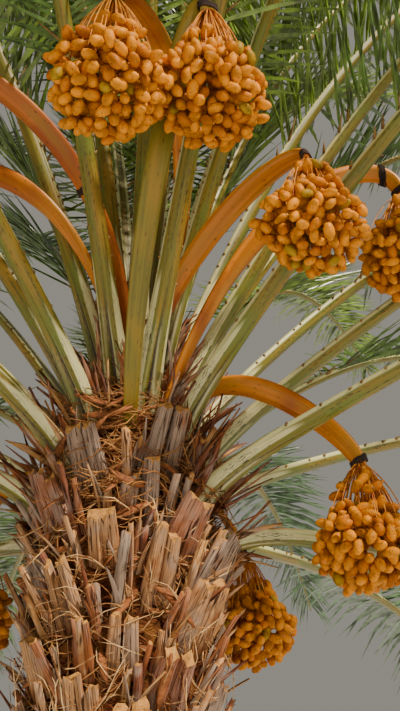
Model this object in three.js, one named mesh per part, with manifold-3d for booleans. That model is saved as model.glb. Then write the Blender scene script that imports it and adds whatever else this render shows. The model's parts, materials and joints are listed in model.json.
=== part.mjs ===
// Date palm, the whole tree: a stout trunk shingled with the cut bases of old leaves, a crown of arching
// feather fronds, and bunches of ripening dates that hang from long flat stalks.
// Millimetres, +Z up. The origin is the middle of the flat cut at ground level.
// The side that people pass, where the low fronds are cut off, faces -Y.
import * as THREE from "three";
import { mergeVertices } from "three/addons/utils/BufferGeometryUtils.js";
import Module from "manifold-3d";

const wasm = await Module();
wasm.setup();
const { Manifold, Mesh: SolidMesh } = wasm;

// Trunk
const CROWN_FOOT = 2290; // height of the lowest living frond
const CROWN_RISE = 760; // from there to the youngest one
const STEM_RADIUS = 215; // bare stem, without the leaf bases
const BUD_RADIUS = 85; // stem at the youngest frond
const BUD_HEIGHT = 220;
const FLARE_RADIUS = 100; // what the root flare adds at the ground
const FLARE_HEIGHT = 420;
const FLARE_RINGS = [0, 90, 220]; // heights at which the flare's curve is drawn
const NECK_POWER = 1.3; // how slowly the stem starts to narrow above the crown's foot
const NECK_RINGS = 4;
const STEM_SIDES = 12;
const GAP = 0.3; // between a frond or stalk and what it grows on

// Every leaf, cut or living, has a rank on one spiral. Rank 0 is the lowest living one.
const GOLDEN_ANGLE = 137.508;
const FIRST_AZIMUTH = 227;
const BOOT_RISE = 18; // climb of the spiral from one cut leaf to the next
const BOOT_LOWEST = 50;
const CROWN_RANKS = 50;
const HEART_RANKS = 8; // the youngest fronds, which still stand in one bundle
const HEART_DEPTH = 30; // from the lowest of them down to where the stem's own solid ends
const SCATTER = 168; // chooses the scatter of every leaf
const BASE_SCATTER = { azimuth: 4, tilt: 4, length: 0.16, width: 0.12 }; // degrees, and shares of a size
const FROND_SCATTER = { azimuth: 3, elevation: 2.5, length: 0.05, bend: 5, sway: 9, twist: 30 };

// Cut leaf bases
const BOOT_WIDTH = 116;
const BOOT_THICK = 54;
const BOOT_LENGTH = { foot: 130, top: 215 };
const BOOT_TILT = { foot: 17, top: 33 };
const BOOT_END = { width: 0.74, thick: 0.45 }; // shares of the foot's
const BOOT_POWER = 1.5; // length and tilt grow faster near the crown
const BOOT_SUNK = 32;
const BOOT_CUTS = [1, 0.75, 0.5]; // shorter where a living neighbour needs the room

// Fronds
const FROND_LENGTH = 3750;
const PETIOLE_SHARE = 0.29; // of a frond's length, bare of leaflets
const YOUNG_SHORTER = 0.32; // of the full length, for the youngest
const PETIOLE_STEPS = 4;
const PETIOLE_CROWDING = 1.5; // draws the petiole's rings towards its foot
const LEAFLETS_END = 0.95; // share of the length where the last leaflets stand
const TIP_LENGTH = 0.08;
const LEAF_STEPS = 15; // leaflets on each side, each as broad as several real ones
const CURVE_STEPS = 120;
const ELEVATION = { oldest: -19, youngest: 84 };
const ELEVATION_POWER = 0.47;
const BEND = { least: 26, more: 40 }; // degrees, most in fronds of middle age
const BEND_AGE_POWER = 0.8;
const BEND_POWER = 1.6; // a frond bends mostly beyond its petiole
const CLASP_LENGTH = 380; // stretch on which a petiole turns away from the stem
const CLASP_UP = 66;
const CLASP_SHARE = 0.6;
const PRUNED_AZIMUTH = -90;
const PRUNED_HALF_WIDTH = 55;
const PRUNED_BELOW = { middle: 54, edge: 14 }; // degrees of elevation
const RIB_WIDTH = { foot: 50, petiole: 62, tip: 9 };
const RIB_DEPTH = { foot: 22, petiole: 38, tip: 8 };
const FOOT_SUNK = 25; // how deep a petiole starts inside the stem
const FOOT_SWELL = 170; // stretch over which the foot's extra width fades
const LEAFLET = 500;
const LEAFLET_SHAPE = { least: 0.35, more: 0.65, from: 0.16, over: 0.74 }; // longest in the frond's middle
const LEAFLET_ANGLE = { foot: 60, tip: 22 };
const LEAFLET_LIFT = 26;
const LEAFLET_LIFT_SPREAD = 12;
const LEAFLET_CUTS = [1, 0.72, 0.48, 0.3];
const CLEAR = 0.6; // what a leaflet or a cut base keeps free round itself

// Fruit
const STALK_WIDTH = { foot: 36, middle: 66, tip: 42 };
const STALK_THICK = 18;
const STALK_STEPS = 8;
const STALK_ROLLED = 0.5; // share of its length along which a stalk rolls
const STALK_SUNK = 30;
const BUNCH_RADIUS = 146;
const BUNCH_HEIGHT = 112; // half height of the dates' mass
const BUNCH_HOLLOW = 0.86; // of the mass, down to the hollows between the dates
const HOLLOW_BAND = { from: 0.1, to: 0.5 }; // distance from the nearest of its twelve tops
const STRANDS = { width: 0.55, depth: 0.6, top: 16 }; // shares of the mass's radius and of its drop, and a radius
const STRAND_SIDES = 6;
const CUTTER = 2000; // the block that cuts everything off at ground level

// The knot that each bunch hangs from, how far below it the dates' middle is,
// where and how its stalk leaves the crown, and the degrees by which it rolls on its way out
const FRUIT = [
  {
    name: "front_left", knot: [-10, -920, 3400], drop: 285,
    rise: 2900, turn: -52, launch: 63, arch: 0.9, fall: 0.15, roll: 0,
  },
  {
    name: "front_mid", knot: [220, -820, 3480], drop: 285,
    rise: 2580, turn: -87, launch: 33, arch: 0.7, fall: 0.2, roll: 0,
  },
  {
    name: "right_high", knot: [490, -550, 3220], drop: 215,
    rise: 2710, turn: -75, launch: 78, arch: 0.55, fall: 0.15, roll: -20,
  },
  {
    name: "right_far", knot: [800, -310, 3300], drop: 215,
    rise: 2630, turn: -53, launch: 60, arch: 0.8, fall: 0.2, roll: -50,
  },
  {
    name: "right_low", knot: [620, -200, 2480], drop: 215,
    rise: 2610, turn: -24, launch: 76, arch: 0.75, fall: 0.15, roll: -60,
  },
  {
    name: "back_right", knot: [330, 290, 2390], drop: 215,
    rise: 2490, turn: 43, launch: 29, arch: 0.65, fall: 0.15, roll: 30,
  },
  {
    name: "back", knot: [-20, 740, 2860], drop: 215,
    rise: 2520, turn: 92, launch: 47, arch: 0.9, fall: 0.15, roll: -30,
  },
  {
    name: "left_low", knot: [-450, 100, 2370], drop: 215,
    rise: 2510, turn: 181, launch: 17, arch: 0.6, fall: 0.3, roll: 30,
  },
  {
    name: "left_mid", knot: [-900, -250, 3150], drop: 215,
    rise: 2860, turn: -111, launch: 55, arch: 0.95, fall: 0.3, roll: 60,
  },
  {
    name: "left_high", knot: [-670, -690, 3350], drop: 215,
    rise: 2800, turn: -93, launch: 73, arch: 0.8, fall: 0.35, roll: 30,
  },
];

const BARK = { color: 0x9a7350, roughness: 0.95, metalness: 0 };
const FROND = { color: 0x7d8443, roughness: 0.6, metalness: 0 };
const STALK = { color: 0xd9801c, roughness: 0.5, metalness: 0 };
const DATES = { color: 0xdb9320, roughness: 0.45, metalness: 0 };

const UP = new THREE.Vector3(0, 0, 1);
const radians = THREE.MathUtils.degToRad;
const mix = THREE.MathUtils.lerp;
const clamp = THREE.MathUtils.clamp;
const outward = (degrees) => new THREE.Vector3(Math.cos(radians(degrees)), Math.sin(radians(degrees)), 0);

// A fixed scatter between -1 and 1 for each rank and purpose.
function wobble(rank, purpose) {
  const x = Math.sin(rank * 12.9898 + (purpose + SCATTER) * 78.233) * 43758.5453;
  return 2 * (x - Math.floor(x)) - 1;
}

// Solids

function solidFrom(points, triangles) {
  return new Manifold(
    new SolidMesh({
      numProp: 3,
      vertProperties: new Float32Array(points.flatMap((p) => [p.x, p.y, p.z])),
      triVerts: new Uint32Array(triangles.flat()),
    }),
  );
}

function solidOf(geometry) {
  const bare = geometry.clone();
  bare.deleteAttribute("normal");
  bare.deleteAttribute("uv");
  const merged = mergeVertices(bare, 1e-3);
  return new Manifold(
    new SolidMesh({
      numProp: 3,
      vertProperties: merged.attributes.position.array,
      triVerts: new Uint32Array(merged.index.array),
    }),
  );
}

function largest(solid) {
  return solid.decompose().reduce((a, b) => (b.volume() > a.volume() ? b : a));
}

function meshOf(name, solid, finish) {
  const { numProp, vertProperties, triVerts } = solid.getMesh();
  const points = [];
  for (let i = 0; i < vertProperties.length; i += numProp) points.push(...vertProperties.subarray(i, i + 3));
  const geometry = new THREE.BufferGeometry();
  geometry.setAttribute("position", new THREE.Float32BufferAttribute(points, 3));
  geometry.setIndex(new THREE.BufferAttribute(triVerts, 1));
  geometry.computeVertexNormals();
  const mesh = new THREE.Mesh(geometry, new THREE.MeshStandardMaterial(finish));
  mesh.name = name;
  return mesh;
}

const touches = (a, b) => a.minGap(b, CLEAR) < CLEAR;

// A solid turned from a profile of [radius, height] pairs that starts and ends on the axis.
function turned(profile, sides) {
  const lathe = new THREE.LatheGeometry(
    profile.map(([radius, height]) => new THREE.Vector2(radius, height)),
    sides,
  );
  return solidOf(lathe.rotateX(Math.PI / 2));
}

// Joins rings of four corners into a closed skin.
function barOf(rings) {
  const triangles = [];
  for (let r = 0; r + 1 < rings.length; r++) {
    for (let i = 0; i < 4; i++) {
      const [a, b] = [4 * r + i, 4 * r + ((i + 1) % 4)];
      triangles.push([a, b, b + 4], [a, b + 4, a + 4]);
    }
  }
  const last = 4 * (rings.length - 1);
  triangles.push([0, 2, 1], [0, 3, 2], [last, last + 1, last + 2], [last, last + 2, last + 3]);
  return solidFrom(rings.flat(), triangles);
}

// Four corners round a point, counted so that a bar made of them faces outwards.
function corners(at, side, face, width, thick) {
  return [
    [-1, -1],
    [1, -1],
    [1, 1],
    [-1, 1],
  ].map(([x, y]) =>
    at
      .clone()
      .addScaledVector(side, (x * width) / 2)
      .addScaledVector(face, (y * thick) / 2),
  );
}

// Trunk

function stemRadius(z) {
  if (z < FLARE_HEIGHT) return STEM_RADIUS + FLARE_RADIUS * (1 - z / FLARE_HEIGHT) ** 2;
  const share = clamp((z - CROWN_FOOT) / CROWN_RISE, 0, 1);
  return mix(STEM_RADIUS, BUD_RADIUS, share ** NECK_POWER);
}

const rankHeight = (rank) => CROWN_FOOT + rank * (rank < 0 ? BOOT_RISE : CROWN_RISE / (CROWN_RANKS - 1));
const rankAzimuth = (rank) => FIRST_AZIMUTH + rank * GOLDEN_ANGLE;
const HEART_FOOT = rankHeight(CROWN_RANKS - HEART_RANKS) - HEART_DEPTH;

// The bare stem with its flare, drawn larger by grow, up to its flat top under the heart.
function stem(grow = 0) {
  const heights = [...FLARE_RINGS, FLARE_HEIGHT, CROWN_FOOT];
  for (let i = 1; i <= NECK_RINGS; i++) heights.push(mix(CROWN_FOOT, HEART_FOOT, i / NECK_RINGS));
  const wall = heights.map((z) => [stemRadius(z) + grow, z]);
  const top = HEART_FOOT + grow;
  return turned([[0, 0], ...wall, [stemRadius(HEART_FOOT) + grow, top], [0, top]], STEM_SIDES);
}

// The bud that the youngest fronds stand round, drawn larger by grow.
function bud(grow = 0) {
  const foot = HEART_FOOT + 2 * GAP - grow;
  return turned(
    [
      [0, foot],
      [stemRadius(HEART_FOOT) + grow, foot],
      [BUD_RADIUS + grow, CROWN_FOOT + CROWN_RISE],
      [0, CROWN_FOOT + CROWN_RISE + BUD_HEIGHT + grow],
    ],
    STEM_SIDES,
  );
}

// A stub of a cut leaf: a flat wedge that leaves the stem at a slant and ends in a straight cut.
function boot(rank, cut) {
  const z = rankHeight(rank);
  const out = outward(rankAzimuth(rank) + BASE_SCATTER.azimuth * wobble(rank, 1));
  const side = UP.clone().cross(out);
  const share = clamp(z / CROWN_FOOT, 0, 1) ** BOOT_POWER;
  const tilt = radians(mix(BOOT_TILT.foot, BOOT_TILT.top, share) + BASE_SCATTER.tilt * wobble(rank, 2));
  const along = UP.clone().multiplyScalar(Math.cos(tilt)).addScaledVector(out, Math.sin(tilt));
  const face = along.clone().cross(side);
  const grown = mix(BOOT_LENGTH.foot, BOOT_LENGTH.top, share) * (1 + BASE_SCATTER.length * wobble(rank, 3));
  const width = BOOT_WIDTH * (1 + BASE_SCATTER.width * wobble(rank, 4));
  const foot = out.clone().multiplyScalar(stemRadius(z) - BOOT_SUNK).addScaledVector(UP, z - BOOT_SUNK);
  const end = foot.clone().addScaledVector(along, grown * cut);
  return barOf([
    corners(foot, side, face, width, BOOT_THICK),
    corners(end, side, face, BOOT_END.width * width, BOOT_END.thick * BOOT_THICK),
  ]);
}

// Fronds

function frondRule(rank) {
  const age = rank / (CROWN_RANKS - 1); // 0 is the oldest and lowest
  const stood = mix(ELEVATION.oldest, ELEVATION.youngest, age ** ELEVATION_POWER);
  const curved = BEND.least + BEND.more * Math.sin(Math.PI * age ** BEND_AGE_POWER);
  return {
    rank,
    azimuth: rankAzimuth(rank) + FROND_SCATTER.azimuth * wobble(rank, 5),
    height: rankHeight(rank),
    elevation: stood + FROND_SCATTER.elevation * wobble(rank, 6),
    length: FROND_LENGTH * (1 - YOUNG_SHORTER * age ** 3) * (1 + FROND_SCATTER.length * wobble(rank, 7)),
    bend: curved + FROND_SCATTER.bend * wobble(rank, 8),
    sway: FROND_SCATTER.sway * wobble(rank, 9),
    twist: FROND_SCATTER.twist * wobble(rank, 10),
  };
}

function isPruned({ azimuth, elevation }) {
  const turn = ((((azimuth - PRUNED_AZIMUTH) % 360) + 540) % 360) - 180;
  const share = Math.abs(turn) / PRUNED_HALF_WIDTH;
  return share < 1 && elevation < mix(PRUNED_BELOW.middle, PRUNED_BELOW.edge, share);
}

// Points, directions and cross axes along a frond's rib, in equal steps.
function ribCurve({ azimuth, height, elevation, length, bend, sway, twist }) {
  const step = length / CURVE_STEPS;
  const at = outward(azimuth).multiplyScalar(stemRadius(height) - FOOT_SUNK);
  at.z = height - FOOT_SUNK;
  const curve = [];
  for (let i = 0; i <= CURVE_STEPS; i++) {
    const t = i / CURVE_STEPS;
    const clasp = CLASP_SHARE * Math.max(0, CLASP_UP - elevation);
    const turn = Math.max(0, 1 - (t * length) / CLASP_LENGTH) ** 2;
    const pitch = radians(elevation + clasp * turn - bend * t ** BEND_POWER);
    const heading = outward(azimuth + sway * t * t);
    const along = heading.clone().multiplyScalar(Math.cos(pitch)).addScaledVector(UP, Math.sin(pitch));
    const side = UP.clone().cross(heading).applyAxisAngle(along, radians(twist * t));
    curve.push({ at: at.clone(), along, side, face: along.clone().cross(side) });
    at.addScaledVector(along, step);
  }
  return curve;
}

// The rib's cross section: flat above, with a keel below. The foot clasps the stem, so it is as broad as that lets it.
function ribRing({ at, side, face }, t, { length, height }) {
  const swell = Math.exp((-t * length) / FOOT_SWELL) * (stemRadius(height) / STEM_RADIUS);
  const size = ({ foot, petiole, tip }) => mix(petiole, tip, t) + foot * swell;
  const [width, depth] = [size(RIB_WIDTH), size(RIB_DEPTH)];
  return [
    at.clone().addScaledVector(side, width / 2).addScaledVector(face, depth / 2),
    at.clone().addScaledVector(side, -width / 2).addScaledVector(face, depth / 2),
    at.clone().addScaledVector(face, -depth / 2),
  ];
}

function ribStations(rule) {
  const shares = [];
  for (let i = 0; i < PETIOLE_STEPS; i++) shares.push(PETIOLE_SHARE * (i / PETIOLE_STEPS) ** PETIOLE_CROWDING);
  for (let i = 0; i <= LEAF_STEPS; i++) shares.push(mix(PETIOLE_SHARE, LEAFLETS_END, i / LEAF_STEPS));
  const curve = ribCurve(rule);
  return shares.map((t) => {
    const place = curve[Math.round(t * CURVE_STEPS)];
    return { ...place, ring: ribRing(place, t, rule) };
  });
}

// Where the tip of leaflet j lies, on the left (1) or the right (-1).
function leafletTip(stations, j, hand, cut) {
  const [a, b] = [stations[PETIOLE_STEPS + j], stations[PETIOLE_STEPS + j + 1]];
  const share = (j + 0.5) / LEAF_STEPS;
  const { least, more, from, over } = LEAFLET_SHAPE;
  const reach = LEAFLET * (least + more * Math.sin(Math.PI * (from + over * share))) * cut;
  const angle = radians(mix(LEAFLET_ANGLE.foot, LEAFLET_ANGLE.tip, share));
  const lift = radians(LEAFLET_LIFT + LEAFLET_LIFT_SPREAD * (j % 2 ? 1 : -1) * hand);
  return a.at
    .clone()
    .lerp(b.at, 0.5)
    .addScaledVector(a.along, reach * Math.cos(angle))
    .addScaledVector(a.side, hand * reach * Math.sin(angle) * Math.cos(lift))
    .addScaledVector(a.face, reach * Math.sin(angle) * Math.sin(lift));
}

// The four corners on the rib that a leaflet stands on, as ring numbers and corners, seen from outside.
const LEAFLET_FOOT = {
  1: [0, 3, 5, 2],
  "-1": [1, 2, 5, 4],
};

function leafletSolid(stations, j, hand, cut) {
  const rings = [...stations[PETIOLE_STEPS + j].ring, ...stations[PETIOLE_STEPS + j + 1].ring];
  const points = [...LEAFLET_FOOT[hand].map((i) => rings[i]), leafletTip(stations, j, hand, cut)];
  return solidFrom(points, [
    [0, 1, 4],
    [1, 2, 4],
    [2, 3, 4],
    [3, 0, 4],
    [0, 2, 1],
    [0, 3, 2],
  ]);
}

// One closed skin: the rib, and a spike wherever cuts says that a leaflet stands.
function frondSolid(rule, stations, cuts) {
  const points = stations.flatMap((s) => s.ring);
  const end = stations.at(-1);
  const apex = points.push(end.at.clone().addScaledVector(end.along, rule.length * TIP_LENGTH)) - 1;
  const triangles = [[0, 2, 1]];
  const quad = (a, b, c, d) => triangles.push([a, b, c], [a, c, d]);
  for (let r = 0; r + 1 < stations.length; r++) {
    quad(...[0, 1, 4, 3].map((i) => 3 * r + i));
    for (const hand of [1, -1]) {
      const foot = LEAFLET_FOOT[hand].map((i) => 3 * r + i);
      const cut = cuts.get(`${r - PETIOLE_STEPS},${hand}`);
      if (cut) {
        const tip = points.push(leafletTip(stations, r - PETIOLE_STEPS, hand, cut)) - 1;
        foot.forEach((corner, i) => triangles.push([corner, foot[(i + 1) % 4], tip]));
      } else {
        quad(...foot);
      }
    }
  }
  const last = 3 * (stations.length - 1);
  triangles.push([last, last + 1, apex], [last + 1, last + 2, apex], [last + 2, last, apex]);
  return solidFrom(points, triangles);
}

// Fruit

function stalkCurve({ knot, rise, turn, launch, arch, fall }) {
  const out = outward(turn);
  const start = out.clone().multiplyScalar(stemRadius(rise) - STALK_SUNK);
  start.z = rise;
  const end = new THREE.Vector3(...knot);
  const span = start.distanceTo(end);
  const first = start
    .clone()
    .addScaledVector(out, span * arch * Math.cos(radians(launch)))
    .addScaledVector(UP, span * arch * Math.sin(radians(launch)));
  const last = end.clone().addScaledVector(UP, span * fall);
  return new THREE.CubicBezierCurve3(start, first, last, end);
}

// A flat strap that leaves the stem on its broad side, rolls over and narrows towards the knot.
function stalkSolid(fruit) {
  const curve = stalkCurve(fruit);
  const side = UP.clone().cross(curve.v3.clone().sub(curve.v0).setZ(0).normalize());
  const rings = [];
  for (let i = 0; i <= STALK_STEPS; i++) {
    const t = i / STALK_STEPS;
    const along = curve.getTangent(t);
    const roll = radians(fruit.roll) * THREE.MathUtils.smoothstep(t, 0, STALK_ROLLED);
    const across = side.clone().applyAxisAngle(along, roll);
    const face = along.clone().cross(across).normalize();
    const end = t < 0.5 ? STALK_WIDTH.foot : STALK_WIDTH.tip;
    const width = mix(end, STALK_WIDTH.middle, Math.sin(Math.PI * t));
    rings.push(corners(curve.getPoint(t), across, face, width, STALK_THICK));
  }
  return barOf(rings);
}

// The dates hang in one lumpy mass under a cone of strands that starts at the stalk's end.
function bunchSolid({ knot, drop }, index) {
  const tops = new THREE.IcosahedronGeometry(1, 0).getAttribute("position");
  const mass = new THREE.IcosahedronGeometry(1, 2);
  const skin = mass.getAttribute("position");
  const at = new THREE.Vector3();
  const top = new THREE.Vector3();
  for (let i = 0; i < skin.count; i++) {
    at.fromBufferAttribute(skin, i);
    let nearest = Infinity;
    for (let k = 0; k < tops.count; k++) nearest = Math.min(nearest, top.fromBufferAttribute(tops, k).distanceTo(at));
    const isHollow = nearest > HOLLOW_BAND.from && nearest < HOLLOW_BAND.to;
    if (isHollow) at.multiplyScalar(BUNCH_HOLLOW);
    skin.setXYZ(i, at.x, at.y, at.z);
  }
  mass.rotateZ(index);
  mass.scale(BUNCH_RADIUS, BUNCH_RADIUS, BUNCH_HEIGHT);
  mass.translate(0, 0, -drop);
  const strands = turned(
    [
      [0, -drop],
      [STRANDS.width * BUNCH_RADIUS, -STRANDS.depth * drop],
      [STRANDS.top, -GAP],
      [0, -GAP],
    ],
    STRAND_SIDES,
  );
  return largest(solidOf(mass).add(strands).translate(knot));
}

// Assembly

const bareStem = stem();
const stemAndGap = stem(GAP);
const core = Manifold.union([stemAndGap, bud(GAP)]);

const rules = Array.from({ length: CROWN_RANKS }, (_, rank) => frondRule(rank));
const fronds = rules
  .filter((rule) => !isPruned(rule))
  .map((rule) => {
    const stations = ribStations(rule);
    const isHeart = rule.rank >= CROWN_RANKS - HEART_RANKS;
    const cutter = isHeart ? stemAndGap : core;
    const whole = frondSolid(rule, stations, new Map());
    return { rule, stations, isHeart, cutter, rib: largest(whole.subtract(cutter)) };
  });

const fruits = FRUIT.map((fruit, index) => ({
  name: fruit.name,
  stalk: largest(stalkSolid(fruit).subtract(core)),
  bunch: bunchSolid(fruit, index),
}));

const limbs = [...fronds.map((frond) => frond.rib), ...fruits.flatMap(({ stalk, bunch }) => [stalk, bunch])];

// A cut base is left shorter, or out, where a living petiole or a stalk needs its room.
function fittedBoot(rank) {
  for (const cut of BOOT_CUTS) {
    const solid = boot(rank, cut);
    if (!limbs.some((limb) => touches(solid, limb))) return [solid];
  }
  return [];
}

const lowest = Math.ceil((BOOT_LOWEST - CROWN_FOOT) / BOOT_RISE);
const boots = Array.from({ length: -lowest }, (_, i) => lowest + i).flatMap(fittedBoot);
const stubs = rules.filter(isPruned).flatMap(({ rank }) => fittedBoot(rank));
const below = solidOf(new THREE.BoxGeometry(CUTTER, CUTTER, CUTTER).translate(0, 0, -CUTTER / 2));
const trunk = largest(Manifold.union([bareStem, ...boots, ...stubs]).subtract(below));

// Each frond gets the leaflets that have room, in turn.
const taken = [trunk, bud(), ...limbs];
function leafedFrond(frond) {
  const others = taken.filter((solid) => solid !== frond.rib);
  const cuts = new Map();
  for (let j = 0; j < LEAF_STEPS; j++) {
    for (const hand of [1, -1]) {
      const cut = LEAFLET_CUTS.find((share) => {
        const leaflet = leafletSolid(frond.stations, j, hand, share);
        return !others.some((other) => touches(leaflet, other));
      });
      if (cut) cuts.set(`${j},${hand}`, cut);
    }
  }
  const solid = largest(frondSolid(frond.rule, frond.stations, cuts).subtract(frond.cutter));
  taken[taken.indexOf(frond.rib)] = solid;
  return solid;
}

const tree = new THREE.Group();
tree.add(meshOf("trunk", trunk, BARK));
for (const frond of fronds.filter((f) => !f.isHeart)) {
  tree.add(meshOf(`frond_${String(frond.rule.rank).padStart(2, "0")}`, leafedFrond(frond), FROND));
}
// The heart: the bud, and the youngest fronds that stand round it
const heart = largest(Manifold.union([bud(), ...fronds.filter((f) => f.isHeart).map(leafedFrond)]));
tree.add(meshOf("heart_fronds", heart, FROND));
for (const { name, stalk, bunch } of fruits) {
  tree.add(meshOf(`fruit_stalk_${name}`, stalk, STALK));
  tree.add(meshOf(`date_bunch_${name}`, bunch, DATES));
}

export default tree;
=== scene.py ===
import json
import math

import bpy
import numpy as np
from mathutils import Euler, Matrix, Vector
from mathutils.bvhtree import BVHTree

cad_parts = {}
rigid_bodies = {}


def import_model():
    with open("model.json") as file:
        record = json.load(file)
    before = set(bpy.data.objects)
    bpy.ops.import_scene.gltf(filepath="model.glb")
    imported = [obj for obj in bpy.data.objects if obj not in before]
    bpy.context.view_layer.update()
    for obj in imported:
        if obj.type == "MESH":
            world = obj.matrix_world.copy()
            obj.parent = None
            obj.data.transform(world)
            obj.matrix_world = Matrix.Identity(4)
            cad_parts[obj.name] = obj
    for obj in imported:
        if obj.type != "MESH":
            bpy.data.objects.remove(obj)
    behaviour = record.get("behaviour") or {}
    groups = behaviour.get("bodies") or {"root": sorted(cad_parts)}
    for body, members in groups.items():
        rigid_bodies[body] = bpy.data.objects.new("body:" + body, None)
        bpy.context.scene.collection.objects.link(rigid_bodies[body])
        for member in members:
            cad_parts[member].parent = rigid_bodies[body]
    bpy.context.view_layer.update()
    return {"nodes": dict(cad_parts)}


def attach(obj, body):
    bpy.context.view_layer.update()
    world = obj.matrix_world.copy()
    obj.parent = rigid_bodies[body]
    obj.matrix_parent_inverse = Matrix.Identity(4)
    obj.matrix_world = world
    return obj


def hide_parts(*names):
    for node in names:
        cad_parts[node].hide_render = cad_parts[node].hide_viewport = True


bl_info = {
    "name": "Date Palm",
    "version": (1, 0, 0),
    "blender": (4, 5, 0),
    "location": "View3D > Sidebar > Date Palm",
    "description": "Builds a date palm: split leaf bases, fibre, feather fronds and bunches of dates",
    "category": "Add Mesh",
}

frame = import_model()
NODES = frame["nodes"]
BODY = "root"

# Metres and degrees, +Z up, as the solids are. The numbers down to the fruit are the source's own.
UP = np.array([0.0, 0.0, 1.0])

# Trunk
CROWN_FOOT = 2.29  # height of the lowest living frond
CROWN_RISE = 0.76  # from there to the youngest one
STEM_RADIUS = 0.215  # bare stem, without the leaf bases
BUD_RADIUS = 0.085  # stem at the youngest frond
BUD_HEIGHT = 0.22
FLARE_RADIUS = 0.1  # what the root flare adds at the ground
FLARE_HEIGHT = 0.42
NECK_POWER = 1.3  # how slowly the stem starts to narrow above the crown's foot

# The spiral of leaves
GOLDEN_ANGLE = 137.508
FIRST_AZIMUTH = 227
BOOT_RISE = 0.018  # climb of the spiral from one cut leaf to the next
BOOT_LOWEST = 0.05
CROWN_RANKS = 50
SCATTER = 168  # chooses the scatter of every leaf
BASE_SCATTER = {"azimuth": 4, "tilt": 4, "length": 0.16, "width": 0.12}  # degrees, and shares of a size
FROND_SCATTER = {"azimuth": 3, "elevation": 2.5, "length": 0.05, "bend": 5, "sway": 9, "twist": 30}

# Cut leaf bases
BOOT_WIDTH = 0.116
BOOT_THICK = 0.054
BOOT_LENGTH = (0.13, 0.215)  # at the ground and at the crown's foot
BOOT_TILT = (17, 33)
BOOT_END = {"width": 0.74, "thick": 0.45}  # shares of the foot's
BOOT_POWER = 1.5  # length and tilt grow faster near the crown
BOOT_SUNK = 0.032
BOOT_CUTS = (1, 0.75, 0.5)  # shorter where a living neighbour needs the room

# Fronds
FROND_LENGTH = 3.75
PETIOLE_SHARE = 0.29  # of a frond's length, bare of leaflets
YOUNG_SHORTER = 0.32  # of the full length, for the youngest
CURVE_STEPS = 120
ELEVATION = (-19, 84)  # of the oldest and of the youngest
ELEVATION_POWER = 0.47
BEND = (26, 40)  # the least, and what middle age adds
BEND_AGE_POWER = 0.8
BEND_POWER = 1.6  # a frond bends mostly beyond its petiole
CLASP_LENGTH = 0.38  # stretch on which a petiole turns away from the stem
CLASP_UP = 66
CLASP_SHARE = 0.6
PRUNED_AZIMUTH = -90  # the middle of the side where the low fronds are cut off
PRUNED_HALF_WIDTH = 55
PRUNED_BELOW = (54, 14)  # elevation, at the middle and at the edge of that side
RIB_WIDTH = {"foot": 0.05, "petiole": 0.062, "tip": 0.009}
RIB_DEPTH = {"foot": 0.022, "petiole": 0.038, "tip": 0.008}
FOOT_SUNK = 0.025  # how deep a petiole starts inside the stem
FOOT_SWELL = 0.17  # stretch over which the foot's extra width fades
LEAFLET = 0.5
LEAFLET_SHAPE = {"least": 0.35, "more": 0.65, "from": 0.16, "over": 0.74}  # longest in the frond's middle
LEAFLET_ANGLE = (60, 22)  # at a petiole's end and at the frond's tip
LEAFLET_LIFT = 26

# Fruit: the knot that each bunch hangs from, how far below it the dates' middle is, the height and
# direction its stalk leaves the stem at, its slope there, how far it keeps to that slope and hangs
# straight above the knot, and the degrees by which it rolls on its way out
FRUIT = {
    "front_left": ((-0.01, -0.92, 3.4), 0.285, 2.9, -52, 63, 0.9, 0.15, 0),
    "front_mid": ((0.22, -0.82, 3.48), 0.285, 2.58, -87, 33, 0.7, 0.2, 0),
    "right_high": ((0.49, -0.55, 3.22), 0.215, 2.71, -75, 78, 0.55, 0.15, -20),
    "right_far": ((0.8, -0.31, 3.3), 0.215, 2.63, -53, 60, 0.8, 0.2, -50),
    "right_low": ((0.62, -0.2, 2.48), 0.215, 2.61, -24, 76, 0.75, 0.15, -60),
    "back_right": ((0.33, 0.29, 2.39), 0.215, 2.49, 43, 29, 0.65, 0.15, 30),
    "back": ((-0.02, 0.74, 2.86), 0.215, 2.52, 92, 47, 0.9, 0.15, -30),
    "left_low": ((-0.45, 0.1, 2.37), 0.215, 2.51, 181, 17, 0.6, 0.3, 30),
    "left_mid": ((-0.9, -0.25, 3.15), 0.215, 2.86, -111, 55, 0.95, 0.3, 60),
    "left_high": ((-0.67, -0.69, 3.35), 0.215, 2.8, -93, 73, 0.8, 0.35, 30),
}
STALK_WIDTH = {"foot": 0.036, "middle": 0.066, "tip": 0.042}
STALK_THICK = 0.018
STALK_SUNK = 0.03  # how deep a stalk starts inside the stem
STALK_ROLLED = 0.5  # share of its length along which a stalk rolls
BUNCH_RADIUS = 0.146
BUNCH_HEIGHT = 0.112  # half height of the dates' mass

FROND_NODES = [name for name in NODES if name.startswith("frond_")] + ["heart_fronds"]
STALK_NODES = [name for name in NODES if name.startswith("fruit_stalk_")]
BUNCH_NODES = [name for name in NODES if name.startswith("date_bunch_")]

# The photograph's camera: at eye height near the foot of the palm, and tilted up
CAMERA_AT = (0.2, -2.3, 1.6)
CAMERA_PITCH = 30
FOCAL_PIXELS = 858
PHOTO_HEIGHT = 711


# Sizes and colours

def linear(hex_colour):
    """An sRGB hex colour as the linear colour that nodes take."""
    values = [int(hex_colour[i : i + 2], 16) / 255 for i in (1, 3, 5)]
    return (*(v / 12.92 if v <= 0.04045 else ((v + 0.055) / 1.055) ** 2.4 for v in values), 1.0)


def length_prop(name, default, description):
    return bpy.props.FloatProperty(name=name, default=default, min=0, unit="LENGTH", description=description)


def count_prop(name, default, description):
    return bpy.props.IntProperty(name=name, default=default, min=1, description=description)


def colour_prop(name, default, description):
    return bpy.props.FloatVectorProperty(
        name=name, size=4, default=linear(default), subtype="COLOR", min=0, max=1, description=description
    )


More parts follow.
